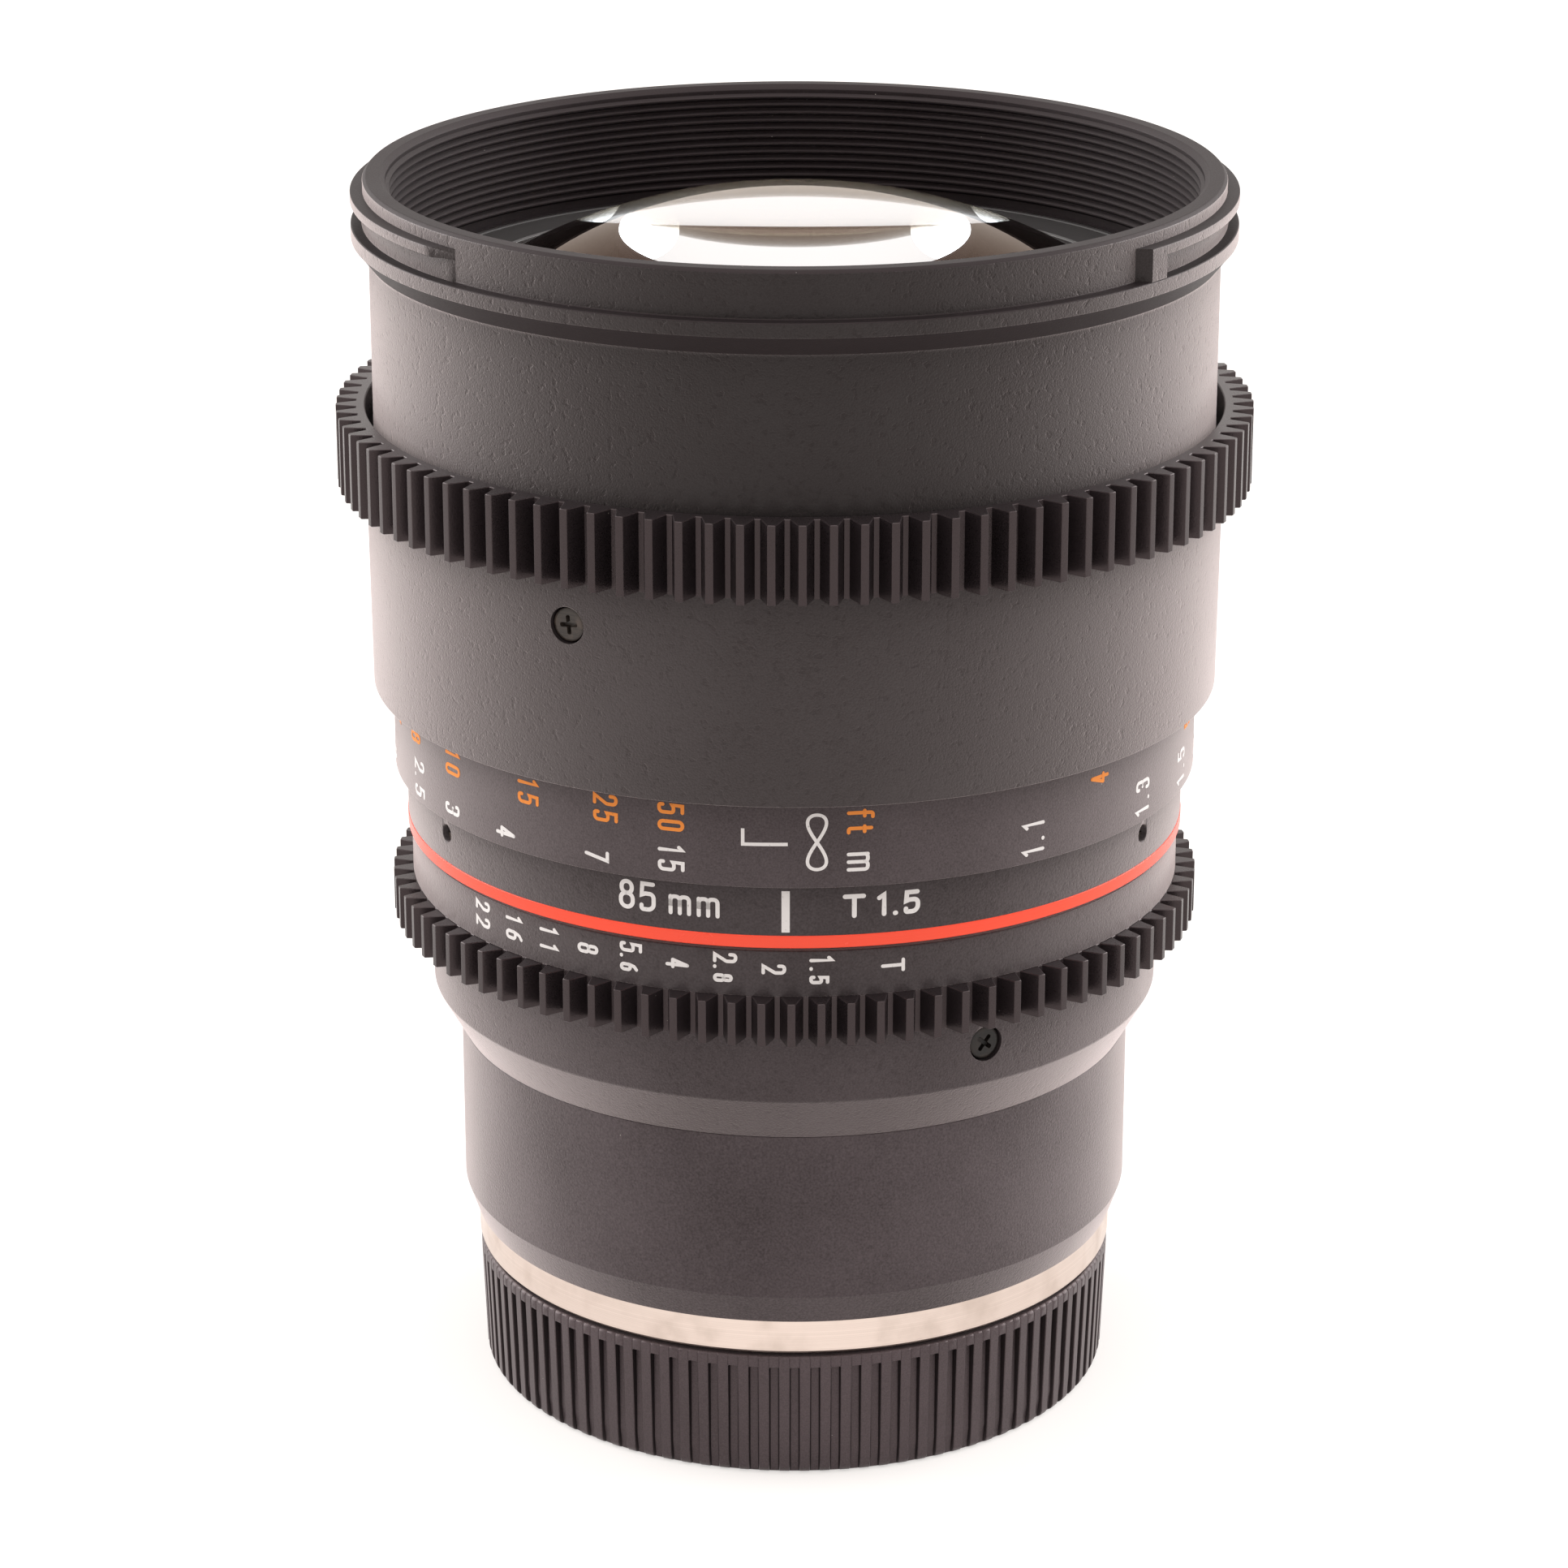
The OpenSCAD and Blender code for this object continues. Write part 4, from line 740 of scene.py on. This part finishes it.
def buildRear(s):
    rearBarrel = lathe("rearBarrel", [
        (s["floorR"], s["foot"]), (s["extensionR"], s["foot"], 0.1), (s["rearR"], s["cone"], 0.5),
        (s["rearR"], s["top"] - 0.3, 0.15), (s["rearR"] - 0.3, s["top"], 0.1), (s["wallIn"], s["top"]),
        (s["wallIn"], s["floorTop"]), (s["floorR"], s["floorTop"])])
    drillHoles(rearBarrel, **rearHoles, fromR=32.3, surfaceR=s["rearR"])
    finishPiece(rearBarrel, rearPaint, "lens_body", "barrel_paint", "rear_barrel")
    paintShadeInHoles(rearBarrel, boreBlackAndShade, **rearHoles, surfaceR=s["rearR"])
    extension = lathe("mountExtension", [
        (s["extensionIn"], s["extensionFoot"]), (s["taperR"], s["extensionFoot"], 0.06),
        (s["extensionR"], s["taper"], 0.25), (s["extensionR"], s["extensionTop"], 0.1),
        (s["shelfIn"], s["extensionTop"]), (s["shelfIn"], s["shelf"]), (s["extensionIn"], s["shelf"])])
    finishPiece(extension, extensionPaint, "lens_body", "barrel_paint", "extension_barrel")


def tabRow(profile, half, middles, steps):
    # the same tab round the axis, half to each side of its middle
    tab = sectorBlock(profile, lambda r: -half, lambda r: half, steps)
    return bundle([turned(tab, middle) for middle in middles])


def buildMount(s):
    mountRing = lathe("mountRing", [
        (s["throat"], s["tubeFoot"], 0.1), (s["tubeR"], s["tubeFoot"], 0.15), (s["tubeR"], s["face"]),
        (s["outer"] - 0.35, s["face"], 0.1), (s["outer"], s["face"] + 0.35, 0.12),
        (s["outer"], s["top"] - 0.05, 0.06), (s["outer"] - 0.1, s["top"]), (s["throat"], s["top"])])
    lug = [(s["lugIn"], s["lugFoot"], 0.1), (s["lugR"], s["lugFoot"], 0.12), (s["lugR"], s["lugTop"], 0.12),
           (s["lugIn"], s["lugTop"])]
    joinInto(mountRing, makePiece("mountLugs", *tabRow(lug, s["lugHalf"], s["lugsAt"], 16)))
    finishPiece(mountRing, satinNickel, "lens_body", "mount_metal", "mount_ring")


buildFocusRing(focusSettings)
buildBands(bandSettings)
buildRear(rearSettings)
buildMount(mountSettings)
print("rings and barrels done")


# rear cap: a ribbed cup with bayonet tabs

capSettings = dict(
    ribs=100, share=0.37, mouth=1.3, lip=0.06, outer=29.5, foot=29.1, groove=28.9, ribTop=10.75, top=11.85,
    inner=24.2, floor=2.0, hub=12, tabIn=22.0, tabR=24.7, tabFoot=9.7, tabTop=11.2, tabHalf=20,
    tabsAt=(0, 120, 240), base=28.1, baseRound=[(0.0, 28.35), (0.05, 28.55), (0.18, 28.82), (0.42, 29.02)],
    roundEnd=0.75, grooveEnd=2.2, lipRound=[(11.5, 0), (11.68, 0.06), (11.8, 0.2), (11.85, 0.4)], bevel=11.7)


def buildCap(s):
    pitch = 360 / s["ribs"]
    floorHalf = pitch * s["share"] / 2
    mouthHalf = floorHalf * s["mouth"]
    lip = math.degrees(0.07 / s["outer"])

    def ring(z, ribR, grooveR):
        rib = [(grooveR, -floorHalf), (grooveR, floorHalf), (ribR - s["lip"], mouthHalf),
               (ribR, mouthHalf + lip), (ribR, pitch - mouthHalf - lip), (ribR - s["lip"], pitch - mouthHalf)]
        return [onCircle(r, i * pitch + a, z) for i in range(s["ribs"]) for r, a in rib]

    def ribAt(z):
        return s["foot"] + (s["outer"] - s["foot"]) * z / s["ribTop"]

    rounds = s["baseRound"] + [(s["roundEnd"], ribAt(s["roundEnd"]))]
    rings = [ring(0, s["hub"], s["hub"]), ring(0, s["base"], s["base"])]
    rings += [ring(z, r, min(r - 0.02, s["groove"] - 0.25 + 0.12 * z)) for z, r in rounds]
    rings.append(ring(s["grooveEnd"], ribAt(s["grooveEnd"]), s["groove"]))
    rings.append(ring(s["ribTop"] - 0.08, ribAt(s["ribTop"]), s["groove"]))
    rings.append(ring(s["ribTop"], s["outer"], s["outer"] - 0.08))
    edge = [(s["ribTop"] + 0.05, s["outer"])] + [(z, s["outer"] - inset) for z, inset in s["lipRound"]]
    edge += [(s["top"], s["inner"] + 0.25), (s["bevel"], s["inner"]), (s["floor"], s["inner"]),
             (s["floor"], s["hub"])]
    rings += [ring(z, r, r) for z, r in edge]
    verts, faces = ringStack(rings, False)
    count = len(rings[0])
    faces += [tuple(range(count)), tuple(len(verts) - count + k for k in range(count))]
    piece = makePiece("rearCap", verts, faces, sharp=30)
    tab = [(s["tabIn"], s["tabFoot"], 0.1), (s["tabR"], s["tabFoot"]), (s["tabR"], s["tabTop"]),
           (s["tabIn"], s["tabTop"], 0.1)]
    joinInto(piece, makePiece("capTabs", *tabRow(tab, s["tabHalf"], s["tabsAt"], 14)))
    settleNormals(piece)
    finishPiece(piece, capPlastic, "cap", "gear_plastic", "rear_cap")
    piece.data.materials.append(boreBlackAndShade)  # painted shade: the groove walls, which see little light, take the darker matt black
    for face in piece.data.polygons:
        away = Vector((face.center.x, face.center.y, 0))
        outer = s["groove"] * mm - 0.0005 < away.length and face.center.z < s["ribTop"] * mm
        if outer and abs(face.normal.z) < 0.5 and abs(face.normal.dot(away.normalized())) < 0.65:
            face.material_index = 1


buildCap(capSettings)
print("rear cap done")


# countersunk screws with a cross recess

screwSettings = dict(headR=1.46, head=0.7, sunk=0.27, shankR=0.7, crossLong=1.8, crossWide=0.42,
                     crossDeep=0.5)
focusScrews = dict(surfaceR=38.2, endR=37.05, lean=-6)  # lean turns the cross, in degrees
rearScrews = dict(surfaceR=33.3, endR=32.3, lean=40)


def buildScrews(name, s, own, holes, finish, body, node):
    out = own["surfaceR"] - s["sunk"]
    profile = roundCorners([
        (0, own["endR"]), (s["shankR"], own["endR"], 0.1), (s["shankR"], out - s["head"]),
        (s["headR"], out - s["head"]), (s["headR"], out - 0.06, 0.06), (s["headR"] - 0.2, out, 0.1),
        (0, out)], 3, False)
    half, wide = s["crossLong"] / 2, s["crossWide"] / 2
    arm = [(wide, wide, 0.06), (wide, half, 0.16), (-wide, half, 0.16)]
    outline = []
    for quarter in range(4):
        turn = Matrix.Rotation(math.radians(90 * quarter - own["lean"]), 2)
        outline += [(*(turn @ Vector(p[:2])), p[2]) for p in arm]
    flat = roundCorners(outline, 3)
    places = [radialTurn(phi, holes["z"]) for phi in holes["angles"]]
    piece = makePiece(name, *bundle([spun(profile, place) for place in places]))
    crosses = [crossPrism(flat, place, out - s["crossDeep"], out + 0.2) for place in places]
    cutAway(piece, makePiece("crossCut", *bundle(crosses)))
    return finishPiece(piece, finish, body, "screw_steel", node)


def crossPrism(flat, place, low, high):
    # narrows a little towards its floor
    levels = ((0.8, low), (1.0, high))
    rings = [[place @ (Vector((p.x * k, p.y * k, h)) * mm) for p in flat] for k, h in levels]
    verts, faces = ringStack(rings, False)
    count = len(flat)
    return verts, faces + [tuple(reversed(range(count))), tuple(count + k for k in range(count))]


buildScrews("focusScrews", screwSettings, focusScrews, focusHoles, screwBlack, "focus_ring",
            "focus_ring_screws")
buildScrews("rearScrews", screwSettings, rearScrews, rearHoles, screwShadedCopy, "lens_body", "rear_barrel_screws")
print("screws done")


# engraved and filled marks, drawn as strokes; corner radii are shares of the glyph's width

glyphs = {
    "0": [(True, [(0, 0, .5), (1, 0, .5), (1, 1, .5), (0, 1, .5)])],
    "1": [(False, [(.2, .84), (.6, 1), (.6, 0)])],
    "2": [(False, [(0, .74), (0, 1, .5), (1, 1, .5), (1, .56, .5), (0, 0), (1, 0)])],
    "3": [(False, [(0, .82), (0, 1, .45), (1, 1, .45), (1, .54, .4), (.35, .54)]),
          (False, [(.35, .54), (1, .54, .4), (1, 0, .5), (0, 0, .5), (0, .2)])],
    "4": [(False, [(.72, 0), (.72, 1)]), (False, [(.72, 1), (0, .28)]), (False, [(0, .28), (1.05, .28)])],
    "5": [(False, [(.95, 1), (.08, 1), (.02, .56), (.3, .62, .3), (1, .62, .5), (1, 0, .5), (0, 0, .5),
                   (0, .16)])],
    "6": [(True, [(0, 0, .5), (1, 0, .5), (1, .58, .45), (0, .58, .45)]),
          (False, [(.86, 1), (.3, .86, .6), (0, .5, .6), (0, .28)])],
    "7": [(False, [(0, 1), (1, 1), (.36, 0)])],
    "8": [(True, [(.07, .54, .42), (.93, .54, .42), (.93, 1, .42), (.07, 1, .42)]),
          (True, [(0, 0, .48), (1, 0, .48), (1, .54, .45), (0, .54, .45)])],
    ".": [(False, [(0, 0), (.06, 0)])],
    "m": [(False, [(0, 0), (0, 1)]), (False, [(0, .4), (0, 1, .4), (.5, 1, .4), (.5, 0)]),
          (False, [(.5, .4), (.5, 1, .4), (1, 1, .4), (1, 0)])],
    "f": [(False, [(.95, 1), (.3, 1, .5), (.3, 0)]), (False, [(0, .66), (.8, .66)])],
    "t": [(False, [(.3, .94), (.3, 0, .5), (.95, 0)]), (False, [(0, .66), (.85, .66)])],
    "T": [(False, [(0, 1), (1, 1)]), (False, [(.5, 1), (.5, 0)])],
}


def ribbon(path, width, closed, place, roundEnds=True):
    # a flat stroke with a little body, laid on the surface by place(x, y, height)
    count = len(path)
    sides = []
    for i, p in enumerate(path):
        before = path[i - 1] if closed or i else p
        after = path[(i + 1) % count] if closed or i < count - 1 else p
        inDir = (p - before).normalized() if (p - before).length else (after - p).normalized()
        outDir = (after - p).normalized() if (after - p).length else inDir
        along = (inDir + outDir).normalized()
        across = Vector((-along.y, along.x))
        reach = width / 2 / max(0.55, along.dot(outDir))
        sides.append((p + across * reach, p - across * reach, across, along))
    lift, sink = 0.022, -0.02
    verts, faces = [], []
    for left, right, across, along in sides:
        verts += [place(*left, lift), place(*right, lift), place(*right, sink), place(*left, sink)]
    for i in range(count if closed else count - 1):
        j = (i + 1) % count
        for a in range(4):
            b = (a + 1) % 4
            faces.append((4 * i + a, 4 * i + b, 4 * j + b, 4 * j + a))
    if not closed:
        for i, way in ((0, -1), (count - 1, 1)):
            left, right, across, along = sides[i]
            arcs = 6 if roundEnds else 1
            tops, lows = [4 * i], [4 * i + 3]
            for k in range(1, arcs):
                a = math.pi * k / arcs
                p = path[i] + (across * math.cos(a) + along * way * math.sin(a)) * width / 2
                tops.append(len(verts))
                lows.append(len(verts) + 1)
                verts += [place(*p, lift), place(*p, sink)]
            tops.append(4 * i + 1)
            lows.append(4 * i + 2)
            if arcs > 1:
                faces += [tuple(tops), tuple(lows)]
            faces += [(tops[k], tops[k + 1], lows[k + 1], lows[k]) for k in range(arcs)]
    return verts, faces


def labelPlace(r, phi, z, reading):
    # reading: "down" runs down the barrel, "up" runs up it, "round" runs round it
    perMm = math.degrees(1 / r)

    def place(x, y, h):
        if reading == "down":
            return onCircle(r + h, phi + y * perMm, z - x)
        if reading == "up":
            return onCircle(r + h, phi - y * perMm, z + x)
        return onCircle(r + h, phi + x * perMm, z + y)
    return place


def label(text, style, r, phi, z, reading):
    # shares are each letter's width and height against a digit's
    wide, high = style["wide"], style["high"]
    shares = {"m": (2.0, style.get("mHigh", 0.72)), "T": (1.5, 1.0), "f": (0.85, 1.0), "t": (0.8, 1.0)}
    spots, x = [], 0.0
    for k, letter in enumerate(text):
        if letter == " ":
            x += style["space"]
            continue
        across, up = shares.get(letter, (1.0, 1.0))
        if "." in text[:k]:
            across, up = (share * style.get("small", 1.0) for share in (across, up))  # digits after the point
        spots.append((letter, x, across * wide, up * high))
        dotNext = text[k + 1:k + 2] == "."
        x += style["dotAfter"] if letter == "." else (
            style["dotStep"] if dotNext else style["step"] + (across - 1) * wide)
    length = max(start + across for letter, start, across, up in spots if letter != ".")
    place = labelPlace(r, phi, z, reading)
    parts = []
    for letter, start, across, up in spots:
        for closed, points in glyphs[letter]:
            scaled = [(start - length / 2 + p[0] * across, p[1] * up - high / 2,
                       *(c * across / shares.get(letter, (1.0,))[0] for c in p[2:])) for p in points]
            parts.append(ribbon(roundCorners(scaled, 5, closed), style["stroke"], closed, place))
    return parts


scaleSettings = dict(
    style=dict(wide=0.69, high=2.06, step=1.50, dotStep=1.35, dotAfter=1.05, stroke=0.32), r=36.35,
    feet={"50": -16.8, "25": -26.3, "15": -39.0, "10": -55.1, "8": -67.07, "7": -77.0, "6": -89.6,
          "5": -105.65, "4": -133.7},  # degrees from the front at the setting shown
    metres={"15": -16.8, "7": -27.7, "4": -43.4, "3": -55.4, "2.5": -65.8, "2": -82.0, "1.7": -96.3,
            "1.5": -109.0, "1.3": -123.2, "1.1": -145.9},
    feetZ=65.0, metresZ=61.35, lastZ=60.55, unitsAt=8.73, unitZ=61.4, unitHigh=0.8,
    infinity=dict(phi=2.88, z=63.27, halfWide=0.80, halfLong=2.45, stroke=0.29, points=72),
    corner=[(-7.0, 64.45), (-7.0, 63.04), (-1.0, 63.1)], cornerStroke=0.3)


def buildScale(s):
    feet, metres = [], []
    for side, reading in ((0, "down"), (180, "up")):
        for text, phi in s["feet"].items():
            feet += label(text, s["style"], s["r"], phi + side, s["feetZ"], reading)
        for text, phi in s["metres"].items():
            z = s["lastZ"] if len(text) == 1 else s["metresZ"]
            metres += label(text, s["style"], s["r"], phi + side, z, reading)
        feet += label("ft", s["style"], s["r"], s["unitsAt"] + side, s["feetZ"], reading)
        unitStyle = dict(s["style"], mHigh=s["unitHigh"])
        metres += label("m", unitStyle, s["r"], s["unitsAt"] + side, s["unitZ"], reading)
        loop = s["infinity"]
        place = labelPlace(s["r"], loop["phi"] + side, loop["z"], "round")
        turns = [2 * math.pi * k / loop["points"] for k in range(loop["points"])]
        eight = [Vector((loop["halfWide"] * math.sin(2 * t), loop["halfLong"] * math.cos(t))) for t in turns]
        metres.append(ribbon(eight, loop["stroke"], True, place))
        place = labelPlace(s["r"], side, 0, "round")
        perDegree = math.radians(s["r"])
        path = [Vector((phi * perDegree, z)) for phi, z in s["corner"]]
        fine = [path[0], path[1]] + [path[1].lerp(path[2], k / 8) for k in range(1, 9)]
        metres.append(ribbon(fine, s["cornerStroke"], False, place, False))
    finishPiece(makePiece("feetMarks", *bundle(feet)), orangeInk, "focus_ring", "barrel_paint")
    finishPiece(makePiece("metreMarks", *bundle(metres)), whiteInk, "focus_ring", "barrel_paint")


stopSettings = dict(
    style=dict(wide=0.62, high=1.81, step=1.55, dotStep=1.12, dotAfter=0.80, small=0.78, stroke=0.31),
    r=35.0, z=51.2,
    stops={"1.5": 3.71, "2": -2.98, "2.8": -9.83, "4": -16.75, "5.6": -23.74, "8": -30.68, "11": -37.54,
           "16": -44.4, "22": -51.46, "T": 13.83})


def buildStops(s):
    parts = []
    for side, reading in ((0, "down"), (180, "up")):
        for text, phi in s["stops"].items():
            parts += label(text, s["style"], s["r"], phi + side, s["z"], reading)
    finishPiece(makePiece("stopMarks", *bundle(parts)), whiteInk, "aperture_control", "barrel_paint")


indexSettings = dict(
    r=35.3, line=dict(phi=-1.32, low=54.72, high=58.48, width=0.7, cut=2.4),
    number=("85", -22.46, 57.09, dict(wide=1.12, high=2.32, step=1.94, stroke=0.38)),
    unit=("mm", -14.13, 56.69, dict(wide=0.82, high=1.49, mHigh=1.0, step=1.68, stroke=0.36)),
    speed=("T 1.5", 12.05, 57.0, dict(wide=1.06, high=1.76, step=1.75, space=0.46, dotStep=1.6,
                                      dotAfter=0.96, stroke=0.41)))


def buildIndex(s):
    parts = []
    line = s["line"]
    for side, cut in ((0, 0.0), (180, line["cut"])):  # the rear line stops below a set screw
        place = labelPlace(s["r"], line["phi"] + side, 0, "round")
        ends = [Vector((0, line["low"])), Vector((0, line["high"] - cut))]
        parts.append(ribbon(ends, line["width"], False, place, False))
    for text, phi, z, style in (s["number"], s["unit"], s["speed"]):
        parts += label(text, style, s["r"], phi, z, "round")
    finishPiece(makePiece("indexMarks", *bundle(parts)), whiteInk, "lens_body", "barrel_paint")


buildScale(scaleSettings)
buildStops(stopSettings)
buildIndex(indexSettings)
print("marks done")


# finishes for the solids that show as they are

nodeFinish = {
    innerBlack: ["front_cell", "front_spacer", "main_barrel", "iris_base", "iris_cover", "rear_cell",
                 "rear_lock_ring", "rear_retaining_ring", "rear_baffle", "focus_cell", "focus_retaining_ring",
                 "focus_spacer"],
    innerGlass: ["lens_3", "lens_4", "lens_5", "lens_6", "lens_7", "lens_8", "lens_9"],
    cutBrass: ["cam_rollers", "focus_cam_tube"],
    screwBlack: ["barrel_screws", "index_set_screws", "mount_screws", "iris_drive_lever"],
    bladeSteel: ["iris_cam_ring"] + ["iris_blade_%d" % k for k in range(1, 9)],
}
for material, names in nodeFinish.items():
    for nodeName in names:
        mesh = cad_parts[nodeName].data
        mesh.materials.clear()
        mesh.materials.append(material)
print("solids finished")


# stage: pale floor, soft light, camera

floorSettings = dict(half=3.0, dark=(0.445, 0.43, 0.42), light=(0.455, 0.44, 0.43), grain=60.0,
                     glow=(1.0, 0.975, 0.955, 1), seen=0.55)


def buildFloor(s):
    half = s["half"]
    mesh = bpy.data.meshes.new("floor")
    corners = [(-half, -half, 0), (half, -half, 0), (half, half, 0), (-half, half, 0)]
    mesh.from_pydata(corners, [], [(0, 1, 2, 3)])
    floor = bpy.data.objects.new("floor", mesh)
    scene.collection.objects.link(floor)
    material = bpy.data.materials.new("paleFloor")
    material.use_nodes = True
    tree = material.node_tree
    tree.nodes.remove(tree.nodes["Principled BSDF"])
    paper = addNode(tree, "ShaderNodeBsdfDiffuse")
    grain = noiseAt(tree, addNode(tree, "ShaderNodeTexCoord").outputs["Object"], s["grain"])
    join(tree, mixColour(tree, grain, s["dark"], s["light"]), paper.inputs["Color"])
    glow = addNode(tree, "ShaderNodeEmission")  # lifts the paper to white where it is seen or mirrored
    glow.inputs["Color"].default_value = s["glow"]
    path = addNode(tree, "ShaderNodeLightPath")
    seen = doMath(tree, "MAXIMUM", path.outputs["Is Camera Ray"], path.outputs["Is Glossy Ray"])
    seen = doMath(tree, "MAXIMUM", seen, path.outputs["Is Transmission Ray"])
    join(tree, doMath(tree, "MULTIPLY", seen, s["seen"]), glow.inputs["Strength"])
    both = addNode(tree, "ShaderNodeAddShader")
    join(tree, paper.outputs[0], both.inputs[0])
    join(tree, glow.outputs[0], both.inputs[1])
    join(tree, both.outputs[0], tree.nodes["Material Output"].inputs["Surface"])
    mesh.materials.append(material)


lightSettings = dict(
    sky=(1.0, 0.95, 0.915, 1), skySeen=1.08, skyLight=0.95, aim=(0, 0, 0.06),
    lamps={"overhead": ((0.0, -0.15, 0.95), 1.0, 3.5), "leftBack": ((-0.85, 0.32, 0.42), 0.9, 9.2),
           "rightBack": ((0.85, 0.32, 0.42), 0.9, 9.2)})  # place, size and power; metres and watts


def buildLight(s):
    world = bpy.data.worlds.new("studio")
    scene.world = world
    world.use_nodes = True
    background = world.node_tree.nodes["Background"]
    background.inputs["Color"].default_value = s["sky"]
    path = addNode(world.node_tree, "ShaderNodeLightPath")
    soft = remap(world.node_tree, path.outputs["Is Diffuse Ray"], 0.0, 1.0, s["skySeen"], s["skyLight"])
    join(world.node_tree, soft, background.inputs["Strength"])
    for name, (spot, size, power) in s["lamps"].items():
        lamp = bpy.data.lights.new(name, "AREA")
        lamp.shape = "DISK"
        lamp.size = size
        lamp.energy = power
        holder = bpy.data.objects.new(name, lamp)
        holder.location = spot
        holder.rotation_euler = (Vector(s["aim"]) - Vector(spot)).to_track_quat("-Z", "Y").to_euler()
        scene.collection.objects.link(holder)


cameraSettings = dict(sensor=36.0, lens=113.03, spot=(-0.00095, -0.42504, 0.20753), tilt=70.319)


def buildCamera(s):
    data = bpy.data.cameras.new("camera")
    data.sensor_width = s["sensor"]
    data.lens = s["lens"]
    camera = bpy.data.objects.new("camera", data)
    camera.location = s["spot"]
    camera.rotation_euler = (math.radians(s["tilt"]), 0, 0)
    scene.collection.objects.link(camera)
    scene.camera = camera


buildFloor(floorSettings)
buildLight(lightSettings)
buildCamera(cameraSettings)
print("stage done")
